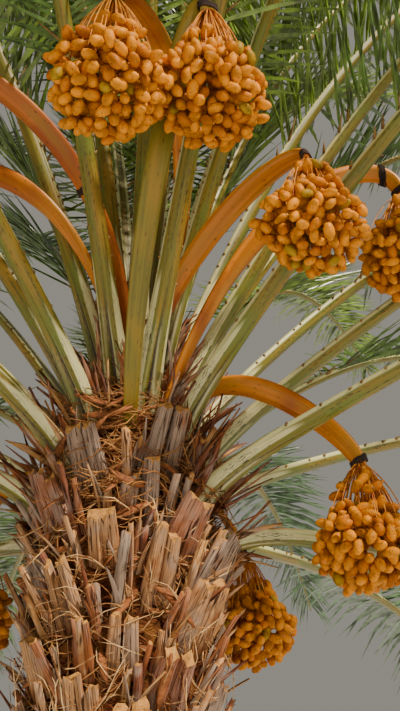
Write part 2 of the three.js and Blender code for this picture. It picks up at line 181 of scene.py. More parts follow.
class PalmTrunkSettings(bpy.types.PropertyGroup):
    relief: length_prop("Relief", 0.007, "Height of the fibre mat's bumps on the stem")
    split: length_prop("Split", 0.007, "Width of the cracks that split a leaf base lengthwise")
    straws: count_prop("Straws", 260, "Loose straws for each square metre round the leaf bases")
    fibres: count_prop("Fibres", 760, "Brown fibres for each square metre of stem")
    husks: count_prop("Husks", 60, "Papery strips for each square metre of stem")
    tan: colour_prop("Tan", "#b28357", "Sun-dried leaf base")
    rose: colour_prop("Rose", "#aa755a", "Leaf base with a reddish rind")
    grey: colour_prop("Grey", "#957c69", "Leaf base that has weathered longest")
    sawn: colour_prop("Sawn", "#b8854a", "Sawn end of a leaf base")
    fibre: colour_prop("Fibre", "#5c301a", "Matted fibre between the leaf bases")
    straw: colour_prop("Straw", "#cfae80", "Loose dry straws")
    husk: colour_prop("Husk", "#93572f", "Papery strips of old leaf sheath")


class PalmFrondSettings(bpy.types.PropertyGroup):
    leaflets: count_prop("Leaflets", 104, "Leaflets on each side of a frond")
    leaflet_width: length_prop("Leaflet width", 0.018, "Greatest width of a leaflet")
    furrow: length_prop("Furrow", 0.024, "Depth of the furrow under a petiole's foot")
    spines: count_prop("Spines", 11, "Spines on each edge of a petiole")
    rind: colour_prop("Rind", "#6d6518", "Petiole, away from its pale foot")
    pale_rind: colour_prop("Pale rind", "#b6b385", "Waxy bloom at a petiole's foot")
    young: colour_prop("Young leaf", "#66802a", "Leaflets of the youngest fronds")
    green: colour_prop("Green leaf", "#4e6a2c", "Leaflets of the fronds in between")
    old: colour_prop("Old leaf", "#4f6a48", "Blue-green leaflets of the oldest fronds")


class PalmFruitSettings(bpy.types.PropertyGroup):
    dates: count_prop("Dates", 235, "Dates in each bunch")
    date_length: length_prop("Date length", 0.041, "Length of a ripe date")
    date_width: length_prop("Date width", 0.0265, "Thickness of a ripe date")
    strands: count_prop("Strands", 64, "Strands in each bunch")
    strand_width: length_prop("Strand width", 0.0036, "Thickness of a strand")
    twine_width: length_prop("Twine width", 0.006, "Thickness of the twine round a stalk")
    golden: colour_prop("Golden date", "#d08200", "Most of the dates")
    amber: colour_prop("Amber date", "#b86a00", "The ripest dates")
    yellow: colour_prop("Yellow date", "#a07d12", "Dates that are still turning")
    stalk: colour_prop("Stalk", "#c47400", "Rind of most fruit stalks")
    red_stalk: colour_prop("Red stalk", "#b4600a", "Rind of the redder fruit stalks")
    green_stalk: colour_prop("Green stalk", "#736a19", "Rind of the fruit stalk that is still green")
    strand: colour_prop("Strand", "#dc9434", "Rind of the strands")


# The rule of growth, as in the solids

def mix(a, b, t):
    return a + (b - a) * t


def wobble(rank, purpose):
    """A fixed scatter between -1 and 1 for each rank and purpose."""
    x = math.sin(rank * 12.9898 + (purpose + SCATTER) * 78.233) * 43758.5453
    return 2 * (x - math.floor(x)) - 1


def scatter(rank, sizes, first):
    """What the scatter adds to each named size at a rank. first is the first size's purpose."""
    return {key: most * wobble(rank, first + i) for i, (key, most) in enumerate(sizes.items())}


def outward(degrees):
    """The level direction at each azimuth."""
    angle = np.radians(degrees)
    return np.stack([np.cos(angle), np.sin(angle), np.zeros_like(angle)], -1)


def unit(vectors):
    return vectors / np.linalg.norm(vectors, axis=-1, keepdims=True)


def stem_radius(z):
    """Radius of the bare stem at each height, from the root flare to the bud."""
    flare = STEM_RADIUS + FLARE_RADIUS * np.clip(1 - z / FLARE_HEIGHT, 0, 1) ** 2
    share = np.clip((z - CROWN_FOOT) / CROWN_RISE, 0, 1)
    return np.where(z < FLARE_HEIGHT, flare, mix(STEM_RADIUS, BUD_RADIUS, share**NECK_POWER))


def rank_height(rank):
    return CROWN_FOOT + rank * (BOOT_RISE if rank < 0 else CROWN_RISE / (CROWN_RANKS - 1))


def rank_azimuth(rank):
    return FIRST_AZIMUTH + rank * GOLDEN_ANGLE


def frond_rule(rank):
    """Where a frond of this rank stands and how it is bent."""
    age = rank / (CROWN_RANKS - 1)
    extra = scatter(rank, FROND_SCATTER, 1 + len(BASE_SCATTER))
    return {
        "rank": rank,
        "age": age,
        "azimuth": rank_azimuth(rank) + extra["azimuth"],
        "height": rank_height(rank),
        "elevation": mix(*ELEVATION, age**ELEVATION_POWER) + extra["elevation"],
        "length": FROND_LENGTH * (1 - YOUNG_SHORTER * age**3) * (1 + extra["length"]),
        "bend": BEND[0] + BEND[1] * math.sin(math.pi * age**BEND_AGE_POWER) + extra["bend"],
        "sway": extra["sway"],
        "twist": extra["twist"],
    }


def is_pruned(rule):
    """Whether a frond is one of the low ones that are cut off on one side."""
    turn = (rule["azimuth"] - PRUNED_AZIMUTH + 180) % 360 - 180
    share = abs(turn) / PRUNED_HALF_WIDTH
    return share < 1 and rule["elevation"] < mix(*PRUNED_BELOW, share)


RULES = [frond_rule(rank) for rank in range(CROWN_RANKS)]
LIVING = [rule for rule in RULES if not is_pruned(rule)]


def rib_curve(rule):
    """Points and cross axes along a frond's rib, in equal steps from its foot."""
    t = np.linspace(0, 1, CURVE_STEPS + 1)
    clasp = CLASP_SHARE * max(0, CLASP_UP - rule["elevation"])
    turn = np.clip(1 - t * rule["length"] / CLASP_LENGTH, 0, None) ** 2
    pitch = np.radians(rule["elevation"] + clasp * turn - rule["bend"] * t**BEND_POWER)[:, None]
    heading = outward(rule["azimuth"] + rule["sway"] * t * t)
    along = heading * np.cos(pitch) + UP * np.sin(pitch)
    level = np.cross(UP, heading)
    roll = np.radians(rule["twist"] * t)[:, None]
    side = level * np.cos(roll) + np.cross(along, level) * np.sin(roll)
    height = rule["height"]
    start = outward(rule["azimuth"]) * (stem_radius(height) - FOOT_SUNK) + UP * (height - FOOT_SUNK)
    steps = along[:-1] * rule["length"] / CURVE_STEPS
    at = start + np.vstack([np.zeros(3), np.cumsum(steps, axis=0)])
    return {"t": t, "at": at, "along": along, "side": side, "face": np.cross(along, side)}


def on_curve(curve, t):
    """The curve's point and axes at each share t of its length."""
    found = {}
    for key in ("at", "along", "side", "face"):
        found[key] = np.stack([np.interp(t, curve["t"], curve[key][:, axis]) for axis in range(3)], -1)
    return found


def rib_size(rule, t):
    """Width and depth of a rib at each share of its length."""
    swell = np.exp(-t * rule["length"] / FOOT_SWELL) * stem_radius(rule["height"]) / STEM_RADIUS
    return [mix(size["petiole"], size["tip"], t) + size["foot"] * swell for size in (RIB_WIDTH, RIB_DEPTH)]


def stalk_curve(row, steps):
    """Points, directions and cross axes of the stalk that a row of the fruit describes."""
    knot, _, rise, turn, launch, arch, fall, roll = row
    out = outward(turn)
    start = out * (stem_radius(rise) - STALK_SUNK) + UP * rise
    end = np.array(knot)
    span = np.linalg.norm(end - start)
    slope = math.radians(launch)
    first = start + span * arch * (out * math.cos(slope) + UP * math.sin(slope))
    last = end + UP * span * fall
    t = np.linspace(0, 1, steps)[:, None]
    at = (1 - t) ** 3 * start + 3 * t * (1 - t) ** 2 * first + 3 * t * t * (1 - t) * last + t**3 * end
    along = (1 - t) ** 2 * (first - start) + 2 * t * (1 - t) * (last - first) + t * t * (end - last)
    along = unit(along)
    level = unit(np.cross(UP, (end - start) * [1, 1, 0]))
    share = np.clip(t / STALK_ROLLED, 0, 1)
    turned = math.radians(roll) * share**2 * (3 - 2 * share)
    on = along * (along @ level)[:, None] * (1 - np.cos(turned))
    side = level * np.cos(turned) + np.cross(along, level) * np.sin(turned) + on
    return at, along, side, unit(np.cross(along, side))


def stalk_width(t):
    """Width of a fruit stalk at each share of its length, greatest in the middle."""
    ends = np.where(t < 0.5, STALK_WIDTH["foot"], STALK_WIDTH["tip"])
    return mix(ends, STALK_WIDTH["middle"], np.sin(np.pi * t))


# Meshes

def scene_object(name, data):
    """A new object in the scene, of a mesh, a lamp or a camera."""
    piece = bpy.data.objects.new(name, data)
    bpy.context.scene.collection.objects.link(piece)
    return piece


def corner_angles(sides):
    """The angles, in radians, at which the corners of a round ring stand."""
    return np.arange(sides) * 2 * math.pi / sides


def loft(rings, along, around):
    """Closed skins through rings of corners (bars, stations, corners, 3), with a cap on each end.

    along (bars, stations) and around (corners + 1) are the pattern's coordinates in metres.
    Returns the points, the walls' faces and the caps' faces, each with their corners' coordinates.
    """
    bars, stations, corners = rings.shape[:3]
    index = np.arange(bars * stations * corners).reshape(bars, stations, corners)
    ahead = np.roll(index, -1, axis=2)
    walls = np.stack([index[:, :-1], ahead[:, :-1], ahead[:, 1:], index[:, 1:]], -1).reshape(-1, 4)
    u = np.broadcast_to(around, (bars, stations - 1, corners + 1))
    v = along[:, :, None]
    low = np.broadcast_to(v[:, :-1], (bars, stations - 1, corners))
    high = np.broadcast_to(v[:, 1:], (bars, stations - 1, corners))
    wall_u = np.stack([u[..., :-1], u[..., 1:], u[..., 1:], u[..., :-1]], -1)
    wall_v = np.stack([low, low, high, high], -1)
    wall_uv = np.stack([wall_u, wall_v], -1).reshape(-1, 4, 2)
    middles = rings[:, [0, -1]].mean(axis=2)
    middle = bars * stations * corners + np.arange(bars * 2).reshape(bars, 2, 1)
    foot = np.stack([ahead[:, 0], index[:, 0], np.broadcast_to(middle[:, 0], (bars, corners))], -1)
    head = np.stack([index[:, -1], ahead[:, -1], np.broadcast_to(middle[:, 1], (bars, corners))], -1)
    caps = np.stack([foot, head], 1).reshape(-1, 3)
    points = np.concatenate([rings.reshape(-1, 3), middles.reshape(-1, 3)])
    return points, (walls, wall_uv), (caps, points[caps][..., :2])


class Pile:
    """The skins of many like things, joined in one mesh."""

    def __init__(self):
        self.points = []
        self.faces = []
        self.count = 0

    def add(self, points, *skins):
        """Each skin is (faces, corner coordinates, material number)."""
        for faces, uvs, kind in skins:
            self.faces.append((faces + self.count, uvs, np.full(len(faces), kind)))
        self.points.append(points)
        self.count += len(points)

    def bars(self, rings, along, around, kind=0, cap_kind=None):
        """Adds bars lofted through rings, with a material number for their walls and one for their ends."""
        points, (walls, wall_uv), (caps, cap_uv) = loft(rings, along, around)
        self.add(points, (walls, wall_uv, kind), (caps, cap_uv, kind if cap_kind is None else cap_kind))

    def round_bars(self, paths, radii, sides, span):
        """Adds round bars along paths. span is how wide a strip of the pattern goes round each."""
        self.bars(round_rings(paths, radii, sides), lengths_along(paths), np.linspace(0, span, sides + 1))

    def piece(self, name, materials, smooth=True):
        """The whole pile as one mesh piece in the scene."""
        mesh = bpy.data.meshes.new(name)
        points = np.concatenate(self.points)
        corners = np.concatenate([faces.ravel() for faces, _, _ in self.faces])
        sizes = np.concatenate([np.full(len(faces), faces.shape[1]) for faces, _, _ in self.faces])
        mesh.vertices.add(len(points))
        mesh.vertices.foreach_set("co", points.ravel())
        mesh.loops.add(len(corners))
        mesh.loops.foreach_set("vertex_index", corners)
        mesh.polygons.add(len(sizes))
        mesh.polygons.foreach_set("loop_start", np.concatenate([[0], np.cumsum(sizes)[:-1]]))
        mesh.polygons.foreach_set("material_index", np.concatenate([kinds for _, _, kinds in self.faces]))
        layer = mesh.uv_layers.new(name="UVMap")
        layer.data.foreach_set("uv", np.concatenate([uvs.ravel() for _, uvs, _ in self.faces]))
        mesh.polygons.foreach_set("use_smooth", np.full(len(sizes), smooth))
        mesh.update(calc_edges=True)
        mesh.validate()
        for material in materials:
            mesh.materials.append(material)
        return scene_object(name, mesh)


def bar_piece(name, rings, along, around, materials=(), cap_kind=0):
    """A piece of one bar, with the first material on its wall."""
    pile = Pile()
    pile.bars(rings[None], along[None], around, 0, cap_kind)
    return pile.piece(name, materials)


def settle(piece, nodes):
    """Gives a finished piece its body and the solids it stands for."""
    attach(piece, BODY)
    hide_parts(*nodes)


def frames_round(along, hint):
    """Cross axes for each direction, the first as near to hint as can be."""
    side = unit(hint - along * np.sum(along * hint, -1, keepdims=True))
    return side, np.cross(along, side)


NEARLY_UPRIGHT = 0.8  # height gained for each metre of a bar


def round_rings(paths, radii, sides):
    """Rings of round bars along paths (bars, stations, 3) with radii (bars, stations)."""
    along = unit(np.gradient(paths, axis=1))
    # A bar that is nearly upright takes its first cross axis from X, and any other from Z
    hint = np.where(np.abs(along[..., 2:]) < NEARLY_UPRIGHT, UP, [1.0, 0.0, 0.0])
    side, face = frames_round(along, hint)
    angle = corner_angles(sides)
    circle = side[:, :, None] * np.cos(angle)[:, None] + face[:, :, None] * np.sin(angle)[:, None]
    return paths[:, :, None] + circle * radii[:, :, None, None]


def lengths_along(paths):
    """How long each path is up to each of its stations."""
    steps = np.linalg.norm(np.diff(paths, axis=1), axis=2)
    return np.concatenate([np.zeros((len(paths), 1)), np.cumsum(steps, axis=1)], axis=1)


# Geometry Nodes

def add(tree, kind, links=None, **settings):
    """Adds a node. links maps an input's name or number to a value or to (node, output)."""
    node = tree.nodes.new(kind)
    for key, value in settings.items():
        setattr(node, key, value)
    for key, value in (links or {}).items():
        if isinstance(value, tuple) and isinstance(value[0], bpy.types.Node):
            tree.links.new(value[0].outputs[value[1]], node.inputs[key])
        else:
            node.inputs[key].default_value = value
    return node


def new_tree(name, sockets):
    tree = bpy.data.node_groups.new(name, "GeometryNodeTree")
    tree.interface.new_socket("Geometry", in_out="INPUT", socket_type="NodeSocketGeometry")
    for label, kind in sockets.items():
        tree.interface.new_socket(label, in_out="INPUT", socket_type=f"NodeSocket{kind}")
    tree.interface.new_socket("Geometry", in_out="OUTPUT", socket_type="NodeSocketGeometry")
    return tree, tree.nodes.new("NodeGroupInput")


# What every tree of copies takes: the shapes to choose from, their size, and how much sizes vary
COPY_INPUTS = {
    "Things": "Collection",
    "Length": "Float",
    "Width": "Float",
    "Spread": "Float",
    "Seed": "Int",
    "Material": "Material",
}
MOST_THINGS = 50  # a picked number wraps round, so any number of shapes up to this has its turn


def stand_copies(tree, given, points, rotation):
    """Ends a tree: copies of the given things on points, made real and painted."""
    things = add(tree, "GeometryNodeCollectionInfo", {
        "Collection": (given, "Things"),
        "Separate Children": True,
        "Reset Children": True,
    })
    pick = add(tree, "FunctionNodeRandomValue", {
        "Seed": (given, "Seed"),
        4: 0,
        5: MOST_THINGS,
    }, data_type="INT")
    share = add(tree, "FunctionNodeRandomValue", {
        2: (add(tree, "ShaderNodeMath", {0: 1.0, 1: (given, "Spread")}, operation="SUBTRACT"), 0),
        3: (add(tree, "ShaderNodeMath", {0: 1.0, 1: (given, "Spread")}, operation="ADD"), 0),
        "Seed": (given, "Seed"),
    })
    width = (given, "Width")
    size = add(tree, "ShaderNodeCombineXYZ", {"X": (given, "Length"), "Y": width, "Z": width})
    scale = add(tree, "ShaderNodeVectorMath", {0: (size, 0), "Scale": (share, 1)}, operation="SCALE")
    copies = add(tree, "GeometryNodeInstanceOnPoints", {
        "Points": points,
        "Instance": (things, 0),
        "Pick Instance": True,
        "Instance Index": (pick, 2),
        "Rotation": rotation,
        "Scale": (scale, 0),
    })
    real = add(tree, "GeometryNodeRealizeInstances", {"Geometry": (copies, 0)})
    painted = add(tree, "GeometryNodeSetMaterial", {"Geometry": (real, 0), "Material": (given, "Material")})
    add(tree, "NodeGroupOutput", {"Geometry": (painted, 0)})


def placed_tree():
    """Copies of a thing at marked points, turned as each point's attribute says."""
    tree, given = new_tree("placed_things", COPY_INPUTS)
    turn = add(tree, "GeometryNodeInputNamedAttribute", {"Name": "turn"}, data_type="FLOAT_VECTOR")
    rotation = add(tree, "FunctionNodeEulerToRotation", {0: (turn, "Attribute")})
    stand_copies(tree, given, (given, "Geometry"), (rotation, 0))
    return tree


def strewn_tree():
    """Strands strewn over a skin: level at first, then tilted and lifted by chance."""
    more = {"Density": "Float", "Tilt": "Float", "Lift": "Float"}
    tree, given = new_tree("strewn_strands", {**COPY_INPUTS, **more})
    spots = add(tree, "GeometryNodeDistributePointsOnFaces", {
        "Mesh": (given, "Geometry"),
        "Density": (given, "Density"),
        "Seed": (given, "Seed"),
    })
    level = add(tree, "ShaderNodeVectorMath", {
        0: tuple(UP),
        1: (spots, "Normal"),
    }, operation="CROSS_PRODUCT")
    stood = add(tree, "FunctionNodeAlignRotationToVector", {"Vector": (spots, "Normal")}, axis="Z")
    laid = add(tree, "FunctionNodeAlignRotationToVector", {
        "Rotation": (stood, 0),
        "Vector": (level, 0),
    }, axis="X", pivot_axis="Z")
    chances = [
        add(tree, "FunctionNodeRandomValue", {
            2: (add(tree, "ShaderNodeMath", {0: (given, label), 1: -1.0}, operation="MULTIPLY"), 0),
            3: (given, label),
            "Seed": (add(tree, "ShaderNodeMath", {0: (given, "Seed"), 1: float(step)}), 0),
        })
        for step, label in enumerate(("Lift", "Lift", "Tilt"), start=1)
    ]
    angles = add(tree, "ShaderNodeCombineXYZ", {i: (chance, 1) for i, chance in enumerate(chances)})
    chance_turn = add(tree, "FunctionNodeEulerToRotation", {0: (angles, 0)})
    rotation = add(tree, "FunctionNodeRotateRotation", {
        "Rotation": (laid, 0),
        "Rotate By": (chance_turn, 0),
    }, rotation_space="LOCAL")
    stand_copies(tree, given, (spots, "Points"), (rotation, 0))
    return tree


def grown(name, carrier, tree, values):
    """Runs a tree on a carrier object and returns the result as a plain mesh piece."""
    modifier = carrier.modifiers.new(tree.name, "NODES")
    modifier.node_group = tree
    for item in tree.interface.items_tree:
        if item.in_out == "INPUT" and item.name in values:
            modifier[item.identifier] = values[item.name]
    bpy.context.view_layer.update()
    graph = bpy.context.evaluated_depsgraph_get()
    mesh = bpy.data.meshes.new_from_object(carrier.evaluated_get(graph))
    carrier.modifiers.remove(modifier)
    mesh.name = name
    return scene_object(name, mesh)


def pattern_collection(pieces):
    """Keeps the shapes that a tree copies, out of the scene."""
    collection = bpy.data.collections.new("patterns")
    for piece in pieces:
        for holder in list(piece.users_collection):
            holder.objects.unlink(piece)
        collection.objects.link(piece)
    return collection


def discard(*things):
    """Removes carriers and pattern collections that have done their work."""
    for thing in things:
        if isinstance(thing, bpy.types.Collection):
            for piece in list(thing.objects):
                bpy.data.objects.remove(piece)
            bpy.data.collections.remove(thing)
        else:
            bpy.data.objects.remove(thing)


# Materials

def new_material(name):
    material = bpy.data.materials.new(name)
    material.use_nodes = True
    material.node_tree.nodes.clear()
    return material, material.node_tree


def streaks(tree, where, spacing, drawn=1.0, detail=3.0):
    """Marks that lie spacing metres apart, and are drawn out along the second axis."""
    scale = (1 / spacing, 1 / spacing / drawn, 1 / spacing)
    placed = add(tree, "ShaderNodeMapping", {"Vector": where, "Scale": scale})
    return add(tree, "ShaderNodeTexNoise", {"Vector": (placed, 0), "Scale": 1.0, "Detail": detail}), 0


def lay(tree, under, over, marks, low, high, most=1.0):
    """Lays a colour over the one below it, more and more as the marks go from low to high."""
    share = add(tree, "ShaderNodeMapRange", {"Value": marks, 1: low, 2: high, 3: 0.0, 4: most})
    return add(tree, "ShaderNodeMix", {0: (share, 0), 6: under, 7: over}, data_type="RGBA"), 2


def away_from(tree, value, place):
    """How far a value is from a place on its own scale."""
    gap = add(tree, "ShaderNodeMath", {0: value, 1: place}, operation="SUBTRACT")
    return add(tree, "ShaderNodeMath", {0: (gap, 0)}, operation="ABSOLUTE"), 0


def surface(tree, colour, relief, depth, gloss):
    """Ends a material with its colour, the depth in metres of its relief, and how it shines."""
    bump = add(tree, "ShaderNodeBump", {"Height": relief, "Distance": depth})
    shader = add(tree, "ShaderNodeBsdfPrincipled", {"Base Color": colour, "Normal": (bump, 0), **gloss})
    add(tree, "ShaderNodeOutputMaterial", {"Surface": (shader, 0)})


def shade(colour, factor):
    return (*(min(1.0, value * factor) for value in colour[:3]), 1.0)


def leaf_base_material(name, colour):
    # Palm leaf base, dried and split by the sun: matte, fibrous lengthwise, blotched dark and weathered grey
    material, tree = new_material(name)
    uv = (add(tree, "ShaderNodeUVMap", uv_map="UVMap"), 0)
    place = (add(tree, "ShaderNodeTexCoord"), "Object")
    grain = streaks(tree, uv, 0.0035, 22, 4.0)
    wide = streaks(tree, uv, 0.012, 10)
    blotch = streaks(tree, uv, 0.013, 6, 5.0)
    tint = streaks(tree, place, 0.07)
    body = lay(tree, shade(colour, 0.62), shade(colour, 1.2), wide, 0.38, 0.62)
    # Paler grain streaks: a painted highlight where the dry fibres catch the light
    grain_highlight = (*(mix(value * 1.5, 0.42, 0.3) for value in colour[:3]), 1.0)
    body = lay(tree, body, grain_highlight, grain, 0.45, 0.7, 0.75)
    body = lay(tree, body, linear("#9a897e"), tint, 0.5, 0.66, 0.6)
    body = lay(tree, body, linear("#8f4f1e"), tint, 0.45, 0.34, 0.6)
    body = lay(tree, body, linear("#2e160b"), blotch, 0.44, 0.37, 0.92)
    body = lay(tree, body, linear("#28120a"), streaks(tree, uv, 0.007, 30, 2.0), 0.38, 0.33, 0.9)
    # Darker over the last few centimetres to the foot: partly damp, partly painted shade where the base
    # meets the stem
    height = add(tree, "ShaderNodeSeparateXYZ", {"Vector": uv})
    body = lay(tree, body, linear("#4a2814"), (height, 1), 0.09, 0.02, 0.8)
    surface(tree, body, grain, 0.003, {"Roughness": 0.88, "Specular IOR Level": 0.2})
    return material


def sawn_material(colour):
    # Palm leaf base, sawn across: pale, rough and open, speckled with the dark ends of its fibres
    material, tree = new_material("sawn_leaf_base")
    place = (add(tree, "ShaderNodeTexCoord"), "Object")
    ends = (add(tree, "ShaderNodeTexVoronoi", {"Vector": place, "Scale": 1 / 0.004}), 0)
    patch = streaks(tree, place, 0.02)
    body = lay(tree, shade(colour, 0.6), shade(colour, 1.15), patch, 0.35, 0.62)
    body = lay(tree, body, linear("#5a3013"), ends, 0.3, 0.05, 0.7)
    surface(tree, body, ends, 0.002, {"Roughness": 0.9, "Specular IOR Level": 0.15})
    return material


def fibre_mat_material(colour):
    # Palm leaf sheath, a natural burlap: two layers of coarse crossed fibres, brown and dull, with painted
    # shade in the dark gaps between them
    material, tree = new_material("matted_leaf_sheath")
    uv = (add(tree, "ShaderNodeUVMap", uv_map="UVMap"), 0)
    layers = []
    for turn in (1.1, -1.2):
        turned = add(tree, "ShaderNodeMapping", {"Vector": uv, "Rotation": (0, 0, turn)})
        layers.append(streaks(tree, (turned, 0), 0.004, 15))
    weave = (add(tree, "ShaderNodeMath", {0: layers[0], 1: layers[1]}, operation="MAXIMUM"), 0)
    body = lay(tree, shade(colour, 0.2), shade(colour, 1.6), weave, 0.46, 0.74)
    body = lay(tree, body, linear("#9a6a38"), streaks(tree, uv, 0.04), 0.48, 0.7, 0.5)
    surface(tree, body, weave, 0.006, {"Roughness": 0.95, "Specular IOR Level": 0.1})
    return material


def strand_material(name, colour, dark, roughness):
    # Palm fibre, straw or stem: one hue that runs darker and lighter from piece to piece, with a fine grain
    material, tree = new_material(name)
    place = (add(tree, "ShaderNodeTexCoord"), "Object")
    fine = streaks(tree, place, 0.006)
    body = lay(tree, dark, colour, streaks(tree, place, 0.045), 0.38, 0.62)
    body = lay(tree, body, shade(colour, 1.4), fine, 0.45, 0.7, 0.5)
    surface(tree, body, fine, 0.0008, {"Roughness": roughness, "Specular IOR Level": 0.3})
    return material


def rind_material(rind, pale):
    # Palm petiole, a living rind: smooth olive with ochre patches and dark freckles, pale sides partly
    # lightened by painted highlight, a waxy bloom on the foot's flanks that painted highlight brightens,
    # painted shade in the furrow under the foot, and thin brown dry margins there
    material, tree = new_material("waxy_petiole_rind")
    uv = (add(tree, "ShaderNodeUVMap", uv_map="UVMap"), 0)
    place = (add(tree, "ShaderNodeTexCoord"), "Object")
    parts = add(tree, "ShaderNodeSeparateXYZ", {"Vector": uv})
    height = (parts, 1)
    fine = streaks(tree, uv, 0.03, 20, 1.5)
    from_keel = away_from(tree, (parts, 0), KEEL_PLACE)
    from_edge = away_from(tree, away_from(tree, (parts, 0), TOP_PLACE), TOP_HALF)
    body = lay(tree, shade(rind, 0.85), shade(rind, 1.25), fine, 0.36, 0.64)
    body = lay(tree, body, linear("#5f7026"), streaks(tree, place, 0.14), 0.46, 0.62, 0.7)
    body = lay(tree, body, linear("#96701a"), streaks(tree, uv, 0.09, 4, 1.5), 0.52, 0.66, 0.7)
    foot = (add(tree, "ShaderNodeMapRange", {"Value": height, 1: 0.05, 2: 0.65, 3: 0.1, 4: -0.26}), 0)
    cloudy = streaks(tree, uv, 0.14, 2.2, 1.5)
    bloom = (add(tree, "ShaderNodeMath", {0: cloudy, 1: foot}, operation="ADD"), 0)
    body = lay(tree, body, shade(pale, 0.66), bloom, 0.48, 0.64, 0.6)
    # The foot's bloom, and the sides away from the keel, in a brightened pale: partly waxy bloom, partly
    # painted highlight
    beside = (add(tree, "ShaderNodeMapRange", {"Value": from_keel, 1: 0.13, 2: 0.19, 3: 0.0, 4: 0.15}), 0)
    flank = (add(tree, "ShaderNodeMath", {0: bloom, 1: beside}, operation="ADD"), 0)
    body = lay(tree, body, shade(pale, 1.35), flank, 0.58, 0.64, 0.85)
    body = lay(tree, body, linear("#5c3a14"), streaks(tree, uv, 0.02, 10, 3.0), 0.64, 0.72, 0.75)
    freckles = streaks(tree, uv, 0.0055, 3.5, 1.0)
    patches = streaks(tree, uv, 0.05, 3)
    patchy = (add(tree, "ShaderNodeMath", {0: freckles, 1: patches}, operation="MULTIPLY"), 0)
    body = lay(tree, body, linear("#1e1409"), patchy, 0.33, 0.35, 0.9)
    # Cream along the upper face's edges: partly a paler rind, partly painted highlight
    body = lay(tree, body, linear("#c8c690"), from_edge, 0.105, 0.072, 0.85)
    up = (add(tree, "ShaderNodeMapRange", {"Value": height, 1: 0.25, 2: 0.5, 3: 0.0, 4: 0.1}), 0)
    margin = (add(tree, "ShaderNodeMath", {0: from_edge, 1: up}, operation="ADD"), 0)
    body = lay(tree, body, linear("#b4875a"), margin, 0.04, 0.02, 0.85)
    # Painted shade in the furrow under the foot, darkest near the keel and low down
    near_keel = add(tree, "ShaderNodeMapRange", {"Value": from_keel, 1: 0.02, 2: 0.07, 3: 1.0, 4: 0.0})
    low = add(tree, "ShaderNodeMapRange", {"Value": height, 1: 0.12, 2: 0.36, 3: 1.0, 4: 0.0})
    furrow_shade = (add(tree, "ShaderNodeMath", {0: (near_keel, 0), 1: (low, 0)}, operation="MULTIPLY"), 0)
    body = lay(tree, body, linear("#2a170b"), furrow_shade, 0.0, 0.8, 0.95)
    surface(tree, body, fine, 0.001, {"Roughness": 0.42, "Specular IOR Level": 0.4})
    return material


def leaflet_material(name, colour):
    # Palm leaflet, a stiff leathery blade: veined lengthwise, with a waxy gloss that catches the light
    material, tree = new_material(name)
    uv = (add(tree, "ShaderNodeUVMap", uv_map="UVMap"), 0)
    place = (add(tree, "ShaderNodeTexCoord"), "Object")
    vein = streaks(tree, uv, 0.002, 50, 1.0)
    # Darker and lighter from place to place: partly the leaflets' own tone, partly painted shade and painted
    # light among them
    body = lay(tree, shade(colour, 0.22), shade(colour, 1.45), streaks(tree, place, 0.07), 0.38, 0.62)
    body = lay(tree, body, shade(colour, 1.9), vein, 0.4, 0.75, 0.4)
    surface(tree, body, vein, 0.0006, {"Roughness": 0.3, "Specular IOR Level": 0.55})
    return material


def date_material(name, colour):
    # Ripening date, a smooth waxy skin: mottled from yellow to brown, with dark flecks and a soft highlight
    material, tree = new_material(name)
    place = (add(tree, "ShaderNodeTexCoord"), "Object")
    fleck = streaks(tree, place, 0.004, detail=1.0)
    body = lay(tree, shade(colour, 0.6), shade(colour, 1.12), streaks(tree, place, 0.03), 0.35, 0.6)
    body = lay(tree, body, linear("#7a3f0a"), streaks(tree, place, 0.012), 0.6, 0.7, 0.6)
    body = lay(tree, body, linear("#5a2c0a"), fleck, 0.66, 0.72, 0.8)
    surface(tree, body, fleck, 0.0006, {"Roughness": 0.5, "Specular IOR Level": 0.14})
    return material


def stalk_material(name, colour, blush):
    # Date palm fruit stalk, a smooth living rind: streaked lengthwise, with a warmer blush in places
    material, tree = new_material(name)
    uv = (add(tree, "ShaderNodeUVMap", uv_map="UVMap"), 0)
    place = (add(tree, "ShaderNodeTexCoord"), "Object")
    fine = streaks(tree, uv, 0.009, 45)
    body = lay(tree, shade(colour, 0.72), shade(colour, 1.1), fine, 0.34, 0.62)
    body = lay(tree, body, linear(blush), streaks(tree, place, 0.25), 0.52, 0.64, 0.7)
    body = lay(tree, body, linear("#9a7210"), streaks(tree, uv, 0.05, 6, 2.0), 0.5, 0.68, 0.6)
    body = lay(tree, body, linear("#3a1c0a"), streaks(tree, uv, 0.006, 4, 1.0), 0.68, 0.73, 0.7)
    surface(tree, body, fine, 0.0008, {"Roughness": 0.42, "Specular IOR Level": 0.4})
    return material


# Trunk

def living_bvh():
    """The living fronds' and stalks' solids, to fit the leaf bases between."""
    points, faces = [], []
    for name in FROND_NODES + STALK_NODES:
        mesh = NODES[name].data
        start = len(points)
        points += [vertex.co.copy() for vertex in mesh.vertices]
        faces += [[start + i for i in polygon.vertices] for polygon in mesh.polygons]
    return BVHTree.FromPolygons(points, faces)


def boot_place(rank):
    """Where a cut leaf base stands, its axes and its sizes."""
    z = rank_height(rank)
    extra = scatter(rank, BASE_SCATTER, 1)
    out = outward(rank_azimuth(rank) + extra["azimuth"])
    side = np.cross(UP, out)
    share = min(max(z / CROWN_FOOT, 0), 1) ** BOOT_POWER
    tilt = math.radians(mix(*BOOT_TILT, share) + extra["tilt"])
    along = UP * math.cos(tilt) + out * math.sin(tilt)
    return {
        "foot": out * (float(stem_radius(z)) - BOOT_SUNK) + UP * (z - BOOT_SUNK),
        "along": along,
        "side": side,
        "face": np.cross(along, side),
        "length": mix(*BOOT_LENGTH, share) * (1 + extra["length"]),
        "width": BOOT_WIDTH * (1 + extra["width"]),
    }


